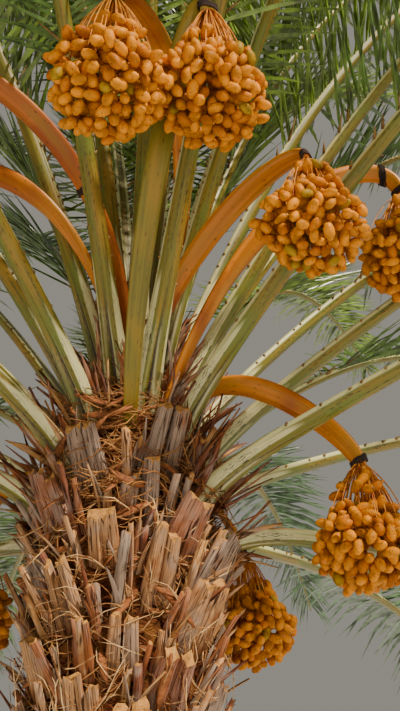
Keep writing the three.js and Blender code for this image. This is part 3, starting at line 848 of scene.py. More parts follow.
def boot_box(place, cut):
    """The eight corners and six faces of a leaf base's solid."""
    points = []
    end = place["foot"] + place["along"] * place["length"] * cut
    for at, wide, thick in ((place["foot"], 1, 1), (end, BOOT_END["width"], BOOT_END["thick"])):
        for x, y in ((-1, -1), (1, -1), (1, 1), (-1, 1)):
            across = place["side"] * x * wide * place["width"] / 2
            points.append(Vector(at + across + place["face"] * y * thick * BOOT_THICK / 2))
    walls = [[i, (i + 1) % 4, (i + 1) % 4 + 4, i + 4] for i in range(4)]
    return BVHTree.FromPolygons(points, [*walls, [3, 2, 1, 0], [4, 5, 6, 7]])


def fitted_boots():
    """The place of every leaf base that has room, with the share of its length that it keeps."""
    living = living_bvh()
    lowest = math.ceil((BOOT_LOWEST - CROWN_FOOT) / BOOT_RISE)
    ranks = [*range(lowest, 0), *(rule["rank"] for rule in RULES if is_pruned(rule))]
    boots = []
    for rank in ranks:
        place = boot_place(rank)
        for cut in BOOT_CUTS:
            if not boot_box(place, cut).overlap(living):
                boots.append((place, cut))
                break
    return boots


STAVE_STATIONS = 9
OUTER_POINTS = 9
STUMP_END = {"width": 0.8, "thick": 0.5}  # shares of the foot's
# The inner face of a stave: across and through, each from -1 to 1
STAVE_BACK = np.array([[1.0, 0.5], [0.5, 0.95], [-0.5, 0.95], [-1.0, 0.5]])
STAVE_CORNERS = OUTER_POINTS + len(STAVE_BACK)
STAVE_AROUND = 0.24  # width of the pattern that goes round a stave
THINNEST_STAVE = 0.2  # share of the half width below which a stave has broken off
STAVE_LOSS = 0.3  # the most that a stave is shorter than its leaf base, as a share
SPLIT_AT_FOOT = 0.35  # width of a split at the foot, as a share of that at the sawn end
GROOVE_WIDTH = 0.17  # of the groove down the outer face, as a share of the half width
GROOVE_FADE = 0.45  # how much shallower it is at the sawn end
BULGE = 0.32  # how far the outer face falls away to its sides, as a share of half the thickness
EDGE_ROUND = 0.22  # how far it falls away to a stave's own edges
RIDGES = (0.1, 0.04)  # its lengthwise ridges, and how they change on the way up
RAGGED = 0.005  # how unevenly a sawn end's fibres stand out
SAWN = 3  # number of the sawn material of a leaf base


def stave_rings(place, cut, low, high, look, chance, split):
    """Rings of one stave of a leaf base, between two shares of its width, from -1 to 1."""
    s = np.linspace(0, 1, STAVE_STATIONS)
    reach = place["length"] * cut * (1 - STAVE_LOSS * chance.random() ** 3)
    wide = mix(1, STUMP_END["width"], s) * place["width"] / 2
    thick = mix(1, STUMP_END["thick"], s) * BOOT_THICK / 2
    gap = split * mix(SPLIT_AT_FOOT, 1, s)
    left = low * wide + np.where(low > -1, gap / 2, 0)
    right = high * wide - np.where(high < 1, gap / 2, 0)
    middle, half = (left + right) / 2, (right - left) / 2
    over = np.linspace(-1, 1, OUTER_POINTS)
    across = np.concatenate([over, STAVE_BACK[:, 0]])
    x = middle[:, None] + half[:, None] * across
    share = x[:, :OUTER_POINTS] / wide[:, None]
    near = np.exp(-(((share - look["groove"]) / GROOVE_WIDTH) ** 2))
    groove = look["depth"] * near * (1 - GROOVE_FADE * s[:, None])
    outer = -1.0 + BULGE * share**2 + groove + EDGE_ROUND * np.abs(over) ** 6
    outer = outer + RIDGES[0] * chance.normal(size=OUTER_POINTS)
    outer = outer + RIDGES[1] * chance.normal(size=outer.shape)
    back = np.broadcast_to(STAVE_BACK[:, 1], (STAVE_STATIONS, len(STAVE_BACK)))
    y = np.concatenate([outer, back], axis=1) * thick[:, None] - look["curl"] * s[:, None] ** 2
    ragged = RAGGED * chance.normal(size=len(across))
    top = s[:, None] ** 5 * (look["slant"] * x + look["bevel"] * y + ragged)
    z = s[:, None] * reach + top
    at = place["foot"] + x[..., None] * place["side"] + y[..., None] * place["face"]
    return at + z[..., None] * place["along"]


def leaf_bases(settings, boots):
    """The cut leaf bases: furrowed slabs, split into staves, with sawn ends."""
    chance = np.random.default_rng(11)
    pile = Pile()
    for place, cut in boots:
        place = {**place, "width": place["width"] * chance.uniform(0.7, 0.95)}
        look = {
            "groove": chance.normal(0, 0.12),
            "depth": chance.uniform(0.5, 1.15),
            "curl": chance.normal(0, 0.01),
            "slant": chance.normal(0, 0.16),
            "bevel": chance.choice([0.15, 0.55, 1.0], p=[0.4, 0.35, 0.25]),
        }
        staves = chance.choice(3, p=[0.25, 0.5, 0.25]) + 1
        splits = np.linspace(-1, 1, staves + 1)[1:-1] + chance.normal(0, 0.16, staves - 1)
        bounds = [-1, *np.sort(splits), 1]
        kind = chance.choice(3, p=[0.4, 0.3, 0.3])
        along = np.linspace(0, place["length"] * cut, STAVE_STATIONS)
        for low, high in zip(bounds, bounds[1:]):
            if high - low < THINNEST_STAVE:
                continue
            rings = stave_rings(place, cut, low, high, look, chance, settings.split)
            # The pattern of each stave starts at another place, the first of two drawn numbers
            around = np.linspace(0, STAVE_AROUND, STAVE_CORNERS + 1) + chance.random(2)[0]
            pile.bars(rings[None], along[None], around, kind, SAWN)
    materials = [
        leaf_base_material("tan_leaf_base", settings.tan),
        leaf_base_material("rose_leaf_base", settings.rose),
        leaf_base_material("grey_leaf_base", settings.grey),
        sawn_material(settings.sawn),
    ]
    piece = pile.piece("leaf_bases", materials)
    piece.data.set_sharp_from_angle(angle=math.radians(50))
    settle(piece, ["trunk"])


# What stands beside cut leaf bases and beside living petioles: how much wider the strips are, the share of
# stumps among them, and the shares of tan, brown, dark, grey and golden ones
BESIDE_CUT = {"wider": 1.0, "stumps": 0.45, "kinds": [0.26, 0.2, 0.18, 0.2, 0.16]}
BESIDE_LIVING = {"wider": 1.5, "stumps": 0.0, "kinds": [0.1, 0.42, 0.26, 0.06, 0.16]}
# A torn strip and a narrow stump: half width, half thickness, distance from the foot's middle as a share of
# the foot's width, how loosely it stands, how it narrows evenly and near its end, and its pattern's width
STRIP = {
    "wide": (0.004, 0.011),
    "thick": (0.0012, 0.0035),
    "out": (0.42, 0.75),
    "loose": 1.0,
    "narrows": (0.35, 0.6),
    "around": 0.05,
}
STUMP = {
    "wide": (0.009, 0.017),
    "thick": (0.005, 0.009),
    "out": (0.5, 0.85),
    "loose": 0.35,
    "narrows": (0.25, 0.0),
    "around": 0.1,
}
SLIVER_STATIONS = 5
SLIVER_SECTION = np.array([[-1.0, 0.0], [-0.6, -1.0], [0.6, -0.9], [1.0, 0.1], [0.5, 1.0], [-0.5, 0.9]])
SLIVER_PLACE = 0.012  # where beside a petiole they stand, as a share of the frond's length
SLIVER_LENGTH = (0.26, 0.156)  # beside the oldest and the youngest petioles
STUMP_END_KIND = 5  # number of the sawn material


def sliver(pile, place, length, beside, hand, chance):
    """Adds one torn strip or narrow stump on one side of a leaf base's or petiole's foot."""
    s = np.linspace(0, 1, SLIVER_STATIONS)[:, None]
    is_stump = chance.random() < beside["stumps"]
    shape = STUMP if is_stump else STRIP
    loose = shape["loose"]
    reach = length * chance.uniform(0.55, 1.0)
    wide = chance.uniform(*shape["wide"]) * beside["wider"]
    thick = chance.uniform(*shape["thick"])
    start = place["foot"] + place["side"] * hand * place["width"] * chance.uniform(*shape["out"])
    start = start + place["face"] * chance.uniform(-0.018, 0.02)
    lean = place["along"] + place["side"] * hand * (0.14 + 0.16 * loose * chance.normal())
    lean = unit(lean + place["face"] * 0.12 * loose * chance.normal())
    bend = place["side"] * hand * chance.normal(0.05, 0.16) - place["face"] * chance.normal(0.05, 0.14)
    path = start + lean * s * reach + loose * bend * s**2 * reach
    along = unit(np.gradient(path, axis=0))
    turn = chance.normal(0, 0.7)
    side, face = frames_round(along, place["side"] * math.cos(turn) + place["face"] * math.sin(turn))
    evenly, at_end = shape["narrows"]
    taper = np.clip(1.0 - evenly * s - at_end * s**6, 0.08, 1)
    ragged = 0.004 * chance.normal(size=len(SLIVER_SECTION)) * s**5
    x = SLIVER_SECTION[:, 0] * wide * taper
    y = SLIVER_SECTION[:, 1] * thick * np.ones_like(s)
    rings = path[:, None] + x[..., None] * side[:, None] + y[..., None] * face[:, None]
    rings = rings + ragged[..., None] * along[:, None]
    offset = chance.random()
    around = np.linspace(0, shape["around"], len(SLIVER_SECTION) + 1) + offset
    kind = chance.choice(len(beside["kinds"]), p=beside["kinds"])
    pile.bars(rings[None], s.T * reach + offset, around, kind, STUMP_END_KIND if is_stump else kind)


def slivers(settings, boots):
    """What is left of the sheaths, on both sides of each leaf base and petiole."""
    chance = np.random.default_rng(13)
    feet = [(place, place["length"] * cut, BESIDE_CUT) for place, cut in boots]
    for rule in LIVING:
        found = on_curve(rib_curve(rule), np.array([SLIVER_PLACE]))
        place = {key: value[0] for key, value in found.items()}
        place.update(foot=place["at"], width=float(rib_size(rule, SLIVER_PLACE)[0]))
        feet.append((place, mix(*SLIVER_LENGTH, rule["age"]), BESIDE_LIVING))
    pile = Pile()
    for place, length, beside in feet:
        for hand in (-1, 1):
            for _ in range(chance.integers(3, 7)):
                sliver(pile, place, length, beside, hand, chance)
    materials = [
        leaf_base_material("tan_sheath_strip", settings.tan),
        leaf_base_material("brown_sheath_strip", settings.husk),
        leaf_base_material("dark_sheath_strip", shade(settings.fibre, 1.6)),
        leaf_base_material("grey_sheath_strip", settings.grey),
        leaf_base_material("golden_sheath_strip", settings.sawn),
        sawn_material(settings.sawn),
    ]
    settle(pile.piece("sheath_strips", materials), ["trunk"])


def upright_rings(radii, heights):
    """Rings round the Z axis, with a radius for each corner (stations, corners)."""
    angle = corner_angles(radii.shape[1])
    level = np.broadcast_to(heights[:, None], radii.shape)
    return np.stack([np.cos(angle) * radii, np.sin(angle) * radii, level], -1)


STEM_STATIONS = 170
STEM_SIDES = 80
STEM_AROUND = 1.35  # width of the pattern that goes round it
STEM_SUNK = 0.03  # how far below the youngest frond it ends, inside the spear
STEM_MORE = 0.006  # how much thicker the fibre mat makes the stem
LUMP_WAVES = (3, 7, 13, 22)  # waves round the stem, from broad lumps to fine ones
SKIN_STATIONS = 40
SKIN_SIDES = 48


def stem_lumps(heights, relief, chance):
    """The relief of the fibre mat, in metres, at each station and corner of the stem."""
    angle = corner_angles(STEM_SIDES)
    lumps = np.zeros((len(heights), STEM_SIDES))
    for waves in LUMP_WAVES:
        phase = chance.random(3) * 2 * math.pi
        swing = np.sin(waves * angle + phase[0] + 3 * np.sin(heights * waves * 3.1 + phase[1])[:, None])
        lumps += relief * swing * np.sin(heights * waves * 5.3 + phase[2])[:, None] / 2
    return lumps + relief * chance.normal(0, 0.25, lumps.shape)


def stem(settings):
    """The stem under the leaf bases, wrapped in the fibre of old sheaths, with a flat foot."""
    heights = np.linspace(0, CROWN_FOOT + CROWN_RISE - STEM_SUNK, STEM_STATIONS)
    lumps = stem_lumps(heights, settings.relief, np.random.default_rng(3))
    rings = upright_rings((stem_radius(heights) + STEM_MORE)[:, None] + lumps, heights)
    materials = [fibre_mat_material(settings.fibre), sawn_material(settings.sawn)]
    around = np.linspace(0, STEM_AROUND, STEM_SIDES + 1)
    settle(bar_piece("matted_stem", rings, heights, around, materials, cap_kind=1), ["trunk"])


def skin_carrier(name, radius_more, low, high):
    """A plain skin round the stem, for strands to be strewn over."""
    heights = np.linspace(low, high, SKIN_STATIONS)
    radii = (stem_radius(heights) + radius_more)[:, None] * np.ones(SKIN_SIDES)
    around = np.linspace(0, 1, SKIN_SIDES + 1)
    points, (walls, wall_uv), _ = loft(upright_rings(radii, heights)[None], heights[None], around)
    pile = Pile()
    pile.add(points[:-2], (walls, wall_uv, 0))  # the last two points are the middles of the caps left out
    return pile.piece(name, [])


STRAND_PATTERN_STATIONS = 5


def strand_pattern(name, waves, flat, seed):
    """A strand one metre long and one metre thick along X, to be scaled, bent by waves of that height.

    A strand that isn't flat has three corners, and a flat one has four.
    """
    chance = np.random.default_rng(seed)
    s = np.linspace(0, 1, STRAND_PATTERN_STATIONS)
    phase = chance.random(2) * 2 * math.pi
    path = np.stack([
        s - 0.5,
        waves * np.sin(3.4 * s + phase[0]),
        waves * 0.7 * np.sin(2.6 * s + phase[1]),
    ], -1)
    path[:, 1:] -= path[:, 1:].mean(axis=0)
    taper = np.clip(np.sin(np.pi * (0.08 + 0.86 * s)), 0.15, 1)
    twist = chance.normal(0, 1.2) * s
    angle = corner_angles(3) if flat == 1 else corner_angles(4) + 0.4
    y, z = np.cos(angle), flat * np.sin(angle)
    rings = np.stack([
        np.zeros((len(s), len(angle))),
        0.5 * taper[:, None] * (y * np.cos(twist)[:, None] - z * np.sin(twist)[:, None]),
        0.5 * taper[:, None] * (y * np.sin(twist)[:, None] + z * np.cos(twist)[:, None]),
    ], -1) + path[:, None]
    return bar_piece(name, rings, s, np.linspace(0, 1, len(angle) + 1))


# The skins round the stem that loose things are strewn over: how far out each lies, and its lower and
# upper ends
SKINS = {
    "inner": (0.02, 0.08, CROWN_FOOT),
    "outer": (0.055, 0.2, CROWN_FOOT + 0.05),
    "crown": (0.03, CROWN_FOOT, CROWN_FOOT + 0.55),
    "ruff": (0.07, CROWN_FOOT + 0.08, CROWN_FOOT + 0.42),
}
# The loose things: how densely they lie on each skin, as a share of their setting, how high the waves are
# that bend a pattern, how flat it is, and the values for its tree
LOOSE = {
    "straws": {
        "shares": {"inner": 1.5, "outer": 0.7, "crown": 2.4},
        "pattern": (9.0, 1),
        "values": {"Length": 0.12, "Width": 0.0026, "Spread": 0.6, "Tilt": 1.3, "Lift": 0.5},
    },
    "sheath_fibres": {
        "shares": {"inner": 0.9, "outer": 0.15, "crown": 2.6, "ruff": 1.1},
        "pattern": (7.0, 1),
        "values": {"Length": 0.1, "Width": 0.0032, "Spread": 0.6, "Tilt": 0.9, "Lift": 0.5},
    },
    "husks": {
        "shares": {"inner": 1, "outer": 0.25, "crown": 3.2, "ruff": 1.3},
        "pattern": (0.45, 0.08),
        "values": {"Length": 0.1, "Width": 0.02, "Spread": 0.5, "Tilt": 1.5, "Lift": 0.7},
    },
}
PATTERNS = 4  # shapes of each loose thing
LOWEST_STRAND = 0.001  # above the ground


def strew(name, tree, skins, many, material):
    """Strews loose things over the skins and joins them in one piece that stays above the ground."""
    loose = LOOSE[name]
    shapes = [strand_pattern(f"{name}_{i}", *loose["pattern"], i) for i in range(PATTERNS)]
    patterns = pattern_collection(shapes)
    pieces = []
    for i, (skin, share) in enumerate(loose["shares"].items()):
        given = {"Things": patterns, "Material": material, "Density": float(many * share), "Seed": 7 * i + 1}
        pieces.append(grown(name, skins[skin], tree, {**given, **loose["values"]}))
    with bpy.context.temp_override(active_object=pieces[0], selected_editable_objects=pieces):
        bpy.ops.object.join()
    discard(patterns)
    mesh = pieces[0].data
    points = np.empty(3 * len(mesh.vertices))
    mesh.vertices.foreach_get("co", points)
    points[2::3] = np.maximum(points[2::3], LOWEST_STRAND)
    mesh.vertices.foreach_set("co", points)
    mesh.update()
    settle(pieces[0], ["trunk"])


def fibres(settings):
    """Straws, brown fibres and papery strips caught between the leaf bases and the petioles' feet."""
    tree = strewn_tree()
    skins = {name: skin_carrier(f"{name}_skin", *place) for name, place in SKINS.items()}
    straw = strand_material("dry_palm_straw", settings.straw, linear("#8f6436"), 0.7)
    brown = strand_material("brown_sheath_fibre", linear("#ab7842"), settings.fibre, 0.9)
    husk = strand_material("papery_leaf_sheath", settings.husk, linear("#5f3517"), 0.75)
    strew("straws", tree, skins, settings.straws, straw)
    strew("sheath_fibres", tree, skins, settings.fibres, brown)
    strew("husks", tree, skins, settings.husks, husk)
    discard(*skins.values())


# Fronds

# A rib's section: across and through, each from -1 to 1, from the right edge round over the top
RIB_SECTION = np.array([
    [1.0, 0.62], [0.9, 0.95], [0.5, 0.86], [0.0, 0.78], [-0.5, 0.86], [-0.9, 0.95], [-1.0, 0.62],
    [-0.93, 0.15], [-0.72, -0.5], [-0.42, -0.92], [-0.14, -1.0], [0.0, -1.0],
    [0.14, -1.0], [0.42, -0.92], [0.72, -0.5], [0.93, 0.15],
])
RIB_CORNERS = len(RIB_SECTION)
KEEL = 11
# Shares of the way round: the keel, the middle of the upper face and half that face's width
KEEL_PLACE = KEEL / RIB_CORNERS
TOP_PLACE = 3 / RIB_CORNERS
TOP_HALF = 2.5 / RIB_CORNERS
FURROW_HALF = 1.4  # corners from the keel over which the furrow fades
FURROW_LENGTH = 0.33  # metres from the foot over which it fades
# The rings of a rib stand closer towards the petiole's foot, and evenly along the blade
PETIOLE_RINGS = 24
PETIOLE_CROWDING = 1.4
BLADE_RINGS = 26
BLADE_FROM = 0.32  # share of a frond's length
RIB_STATIONS = np.concatenate([
    PETIOLE_SHARE * np.linspace(0, 1, PETIOLE_RINGS) ** PETIOLE_CROWDING,
    np.linspace(BLADE_FROM, 1, BLADE_RINGS),
])


def rib_rings(rule, curve, t, furrow):
    """Rings of a frond's rib, with the furrow under its foot that fades further up."""
    found = on_curve(curve, t)
    width, depth = rib_size(rule, t)
    metres = t * rule["length"]
    x = RIB_SECTION[:, 0] * width[:, None] / 2
    y = RIB_SECTION[:, 1] * depth[:, None] / 2
    near = np.exp(-((np.arange(RIB_CORNERS) - KEEL) / FURROW_HALF) ** 2)
    y = y + furrow * near * np.exp(-((metres / FURROW_LENGTH) ** 2))[:, None]
    at, side, face = (found[key][:, None] for key in ("at", "side", "face"))
    return at + x[..., None] * side + y[..., None] * face


def petioles(settings):
    """The ribs of all living fronds, from their feet to their tips."""
    pile = Pile()
    around = np.linspace(0, 1, RIB_CORNERS + 1)
    for rule in LIVING:
        rings = rib_rings(rule, rib_curve(rule), RIB_STATIONS, settings.furrow)
        pile.bars(rings[None], (RIB_STATIONS * rule["length"])[None], around)
    piece = pile.piece("petioles", [rind_material(settings.rind, settings.pale_rind)])
    settle(piece, FROND_NODES)


SPINES_FROM = 0.1  # share of a frond's length
SPINES_TO = PETIOLE_SHARE + 0.02
SPINE_LENGTH = (0.009, 0.11)  # of a stub, and of the whole ones next to the leaflets
SPINE_STATIONS = np.array([0, 0.4, 1.0])
SPINE_RADII = (0.0052, 0.0045)  # at its foot and further up
SPINE_TIP = (0.0036, 0.0004)  # radius of a stub's end, and of a whole one's


def spines(settings):
    """Stiff spines along a petiole's edges: cut to stubs, but for those next to the leaflets."""
    pile = Pile()
    chance = np.random.default_rng(9)
    count = settings.spines
    for rule in LIVING:
        curve = rib_curve(rule)
        for hand in (-1, 1):
            share = (np.arange(count) + chance.random(count)) / count
            t = mix(SPINES_FROM, SPINES_TO, share)
            found = on_curve(curve, t)
            width, depth = rib_size(rule, t)
            start = found["at"] + found["side"] * (hand * width / 2 * 0.92)[:, None]
            start = start + found["face"] * (0.3 * depth)[:, None]
            size = mix(*SPINE_LENGTH, share**5) * chance.uniform(0.7, 1.1, count)
            lean = found["along"] * 0.7 + hand * found["side"] * 0.62
            lean = unit(lean + found["face"] * chance.normal(0.25, 0.15, count)[:, None])
            paths = start[:, None] + lean[:, None] * (SPINE_STATIONS[:, None] * size[:, None, None])
            foot, above = (np.full(count, radius) for radius in SPINE_RADII)
            radii = np.stack([foot, above, mix(*SPINE_TIP, share)], -1)
            pile.round_bars(paths, radii, sides=4, span=1)
    material = strand_material("stiff_spine", linear("#8a6c38"), linear("#4a2f14"), 0.6)
    settle(pile.piece("spines", [material]), FROND_NODES)


# A leaflet's stations, and its width there as a share of the greatest
LEAFLET_STATIONS = np.array([0.0, 0.14, 0.55, 1.0])
LEAFLET_WIDTHS = np.array([0.4, 1.0, 0.8, 0.06])
FOLD = 0.3  # how deep a leaflet is folded, as a share of its width
LEAFLETS_END = 0.985  # share of the length where the last leaflets stand
# Leaflets stand in groups of four, and each of a group is lifted by another angle beside the common one
GROUP_LIFTS = np.array([-16.0, 4.8, -6.4, 11.2])
DROOP = (0.252, 0.072)  # share of its length by which a leaflet of the oldest and the youngest frond sags
WIDE_FROM = 0.42  # length from which on a leaflet has its full width, more or less
FRUIT_ROOM = BUNCH_RADIUS * 1.05  # from the middle of a bunch to the nearest leaflet


def fruit_masses():
    """The middle of each bunch's dates."""
    return np.array([knot - UP * drop for knot, drop, *_ in FRUIT.values()])


def leaflet_set(rule, curve, hand, settings, chance):
    """Rings of all leaflets on one side of a frond, left out where they would meet fruit."""
    count = settings.leaflets
    share = (np.arange(count) + 0.5 + chance.uniform(-0.25, 0.25, count)) / count
    t = mix(PETIOLE_SHARE, LEAFLETS_END, share)
    found = on_curve(curve, t)
    width, depth = rib_size(rule, t)
    swell = np.sin(math.pi * (LEAFLET_SHAPE["from"] + LEAFLET_SHAPE["over"] * share))
    reach = LEAFLET * (LEAFLET_SHAPE["least"] + LEAFLET_SHAPE["more"] * swell)
    reach = reach * chance.uniform(0.86, 1.0, count)
    angle = np.radians(mix(*LEAFLET_ANGLE, share) + chance.normal(0, 3, count))
    group_lift = GROUP_LIFTS[np.arange(count) % len(GROUP_LIFTS)]
    lift = np.radians(LEAFLET_LIFT + group_lift + chance.normal(0, 4, count))
    start = found["at"] + found["side"] * (hand * 0.42 * width)[:, None]
    start = start + found["face"] * (0.25 * depth)[:, None]
    go = (
        found["along"] * np.cos(angle)[:, None]
        + found["side"] * (hand * np.sin(angle) * np.cos(lift))[:, None]
        + found["face"] * (np.sin(angle) * np.sin(lift))[:, None]
    )
    droop = mix(*DROOP, rule["age"]) * reach * chance.uniform(0.6, 1.25, count)
    s = LEAFLET_STATIONS[:, None]
    paths = start[:, None] + go[:, None] * s * reach[:, None, None] - UP * s**2 * droop[:, None, None]
    across = unit(found["along"] - go * np.sum(found["along"] * go, -1, keepdims=True))
    normal = np.cross(go, across) * hand
    roll = np.radians(chance.normal(18, 14, count))[:, None]
    wide = across * np.cos(roll) + normal * np.sin(roll)
    deep = np.cross(go, wide)
    full = settings.leaflet_width * chance.uniform(0.8, 1.05, count)
    size = (full * np.clip(reach / WIDE_FROM, 0.7, 1.05))[:, None] * LEAFLET_WIDTHS
    wide = wide[:, None] * size[..., None] / 2
    deep = deep[:, None] * size[..., None] * FOLD
    rings = np.stack([paths + wide + deep, paths - wide + deep, paths - deep * 0.8], 2)
    # A leaflet is left out where its tip or its middle would be among the dates of a bunch
    spots = np.stack([paths[:, -1], (paths[:, 1] + paths[:, 2]) / 2], 1)
    room = np.linalg.norm(spots[:, :, None] - fruit_masses(), axis=-1).min(axis=(1, 2))
    keep = room > FRUIT_ROOM
    return rings[keep], (LEAFLET_STATIONS * reach[:, None])[keep]


# Ages of the fronds whose leaflets each piece joins
LEAF_GROUPS = {"old_leaflets": (0.0, 0.3), "middle_leaflets": (0.3, 0.66), "young_leaflets": (0.66, 1.01)}


def leaflets(settings):
    """The leaflets of all living fronds, in three pieces by the fronds' age."""
    materials = [
        leaflet_material("old_palm_leaflet", settings.old),
        leaflet_material("grown_palm_leaflet", settings.green),
        leaflet_material("young_palm_leaflet", settings.young),
    ]
    around = np.array([0, 0.5, 0.75, 1.0]) * settings.leaflet_width
    chance = np.random.default_rng(21)
    for name, (low, high) in LEAF_GROUPS.items():
        pile = Pile()
        for rule in LIVING:
            if not low <= rule["age"] < high:
                continue
            curve = rib_curve(rule)
            kind = int(np.clip(rule["age"] * len(materials) + chance.normal(0, 0.5), 0, 2.99))
            for hand in (-1, 1):
                pile.bars(*leaflet_set(rule, curve, hand, settings, chance), around, kind)
        settle(pile.piece(name, materials, smooth=False), FROND_NODES)


SPEAR_STATIONS = 24
SPEAR_SIDES = 72
SPEAR_TAPER = (1.15, 0.12)  # radius at its foot and its tip, as shares of the bud's
SPEAR_AROUND = 0.5  # width of the pattern that goes round it
SPEAR_FOLDS = 12
FOLD_DEPTH = 0.12  # share of the radius
SPEAR_SUNK = 0.12  # how far below the youngest frond it starts


def spear():
    """The bud: the youngest leaves, still folded together in one ribbed spear."""
    share = np.linspace(0, 1, SPEAR_STATIONS)
    top = CROWN_FOOT + CROWN_RISE
    heights = mix(top - SPEAR_SUNK, top + BUD_HEIGHT, share)
    radius = BUD_RADIUS * np.clip(mix(*SPEAR_TAPER, share**1.3), 0, 1.05)
    folds = np.cos(SPEAR_FOLDS * corner_angles(SPEAR_SIDES) + 3 * share[:, None])
    radii = radius[:, None] * (1 - FOLD_DEPTH * (0.5 + 0.5 * folds))
    material = leaflet_material("folded_young_leaf", linear("#a9b26a"))
    around = np.linspace(0, SPEAR_AROUND, SPEAR_SIDES + 1)
    piece = bar_piece("leaf_spear", upright_rings(radii, heights), heights, around, [material])
    settle(piece, ["heart_fronds"])


# Fruit

STALK_STATIONS = 44
STALK_AROUND = 0.16  # width of the pattern that goes round it
# Which rind a stalk has, where it isn't the golden one: 1 is red, 2 is green
STALK_KINDS = {"left_high": 1, "back": 1, "front_mid": 2}
# A stalk's section: across and through, each from -1 to 1
STALK_SECTION = np.array([
    [-1.0, 0.0], [-0.86, -0.75], [-0.4, -1.0], [0.0, -0.86], [0.4, -1.0], [0.86, -0.75],
    [1.0, 0.0], [0.86, 0.75], [0.4, 0.98], [0.0, 0.9], [-0.4, 0.98], [-0.86, 0.75],
])


def fruit_stalks(settings):
    """The flat stalk of each bunch, from inside the stem to the knot."""
    pile = Pile()
    around = np.linspace(0, STALK_AROUND, len(STALK_SECTION) + 1)
    wide = stalk_width(np.linspace(0, 1, STALK_STATIONS))[:, None] / 2 * STALK_SECTION[:, 0]
    thick = STALK_THICK / 2 * STALK_SECTION[:, 1]
    for index, (name, row) in enumerate(FRUIT.items()):
        at, _, side, face = stalk_curve(row, STALK_STATIONS)
        rings = at[:, None] + wide[..., None] * side[:, None] + thick[:, None] * face[:, None]
        # The pattern of each stalk starts a metre further on, so that no two are streaked alike
        pile.bars(rings[None], lengths_along(at[None]) + index, around, STALK_KINDS.get(name, 0))
    materials = [
        stalk_material("golden_stalk_rind", settings.stalk, "#8c3a06"),
        stalk_material("red_stalk_rind", settings.red_stalk, "#8c3a06"),
        stalk_material("green_stalk_rind", settings.green_stalk, "#8f7414"),
    ]
    settle(pile.piece("fruit_stalks", materials), STALK_NODES)


TWINE_TURNS = 4
TWINE_STEPS = 24  # for each turn
TIE_STATIONS = 200  # of a stalk's curve, one of which twine is wound round
STALK_END_TIE = 0.96  # the share of a stalk's length where twine is wound round it
MORE_TIES = {"left_high": 0.28, "right_far": 0.8}


def twine_ties(settings):
    """Twine wound round each stalk just above its bunch, and round two of them once more."""
    pile = Pile()
    chance = np.random.default_rng(17)
    width = settings.twine_width
    steps = TWINE_STEPS * TWINE_TURNS
    angle = np.linspace(0, 2 * math.pi * TWINE_TURNS, steps)
    ties = [(row, STALK_END_TIE) for row in FRUIT.values()]
    ties += [(FRUIT[name], t) for name, t in MORE_TIES.items()]
    for row, t in ties:
        middle = round(t * TIE_STATIONS)
        at, along, side, face = (values[middle] for values in stalk_curve(row, TIE_STATIONS))
        rise = (angle / angle[-1] - 0.5) * width * TWINE_TURNS * 0.9
        rise = rise + chance.normal(0, 0.001, steps)
        wide = float(stalk_width(np.array([t]))[0]) / 2 + width * 0.45
        thick = STALK_THICK / 2 + width * 0.45
        path = (
            at
            + np.cos(angle)[:, None] * wide * side
            + np.sin(angle)[:, None] * thick * face
            + rise[:, None] * along
        )
        pile.round_bars(path[None], np.full((1, steps), width / 2), sides=5, span=0.02)
    material = strand_material("tarred_twine", linear("#3a2c28"), linear("#17110f"), 0.8)
    settle(pile.piece("twine_ties", [material]), STALK_NODES)


# The shells of dates in a bunch: radius, and share of the dates
DATE_SHELLS = ((1.0, 0.78), (0.66, 0.18))
# How far out the middles of the outer shell's dates lie
SHELL_REACH = np.array([BUNCH_RADIUS - 0.012, BUNCH_RADIUS - 0.012, BUNCH_HEIGHT - 0.004])
BUNCH_NECK = 0.3  # how much narrower a bunch is at its top
DATE_GAP = 0.0295  # from the middle of a date to the next one's
SPREAD_ROUNDS = 10
DATE_STATIONS = np.array([0.0, 0.08, 0.3, 0.65, 0.91, 1.0])
DATE_GIRTHS = np.array([0.28, 0.66, 0.98, 0.96, 0.56, 0.12])
DATE_SIDES = 7
DATE_DENTS = 0.03
DATE_PLUMPNESS = (0.85, 1, 1.2)  # powers of the girths, from a plump date to a slim one
CAP_STATIONS = np.array([0.0, 1.0])
CAP_GIRTHS = np.array([0.5, 1.0])
CAP_SIDES = 4
CAP_LENGTH = 0.005
CAP_WIDTH = 0.013


def spread_apart(at, gap):
    """Pushes places apart until few are nearer to each other than gap."""
    for _ in range(SPREAD_ROUNDS):
        apart = at[:, None] - at
        far = np.linalg.norm(apart, axis=2) + np.eye(len(at))
        at = at + 0.4 * (apart * (np.clip(gap - far, 0, None) / far)[..., None]).sum(axis=1)
    return at


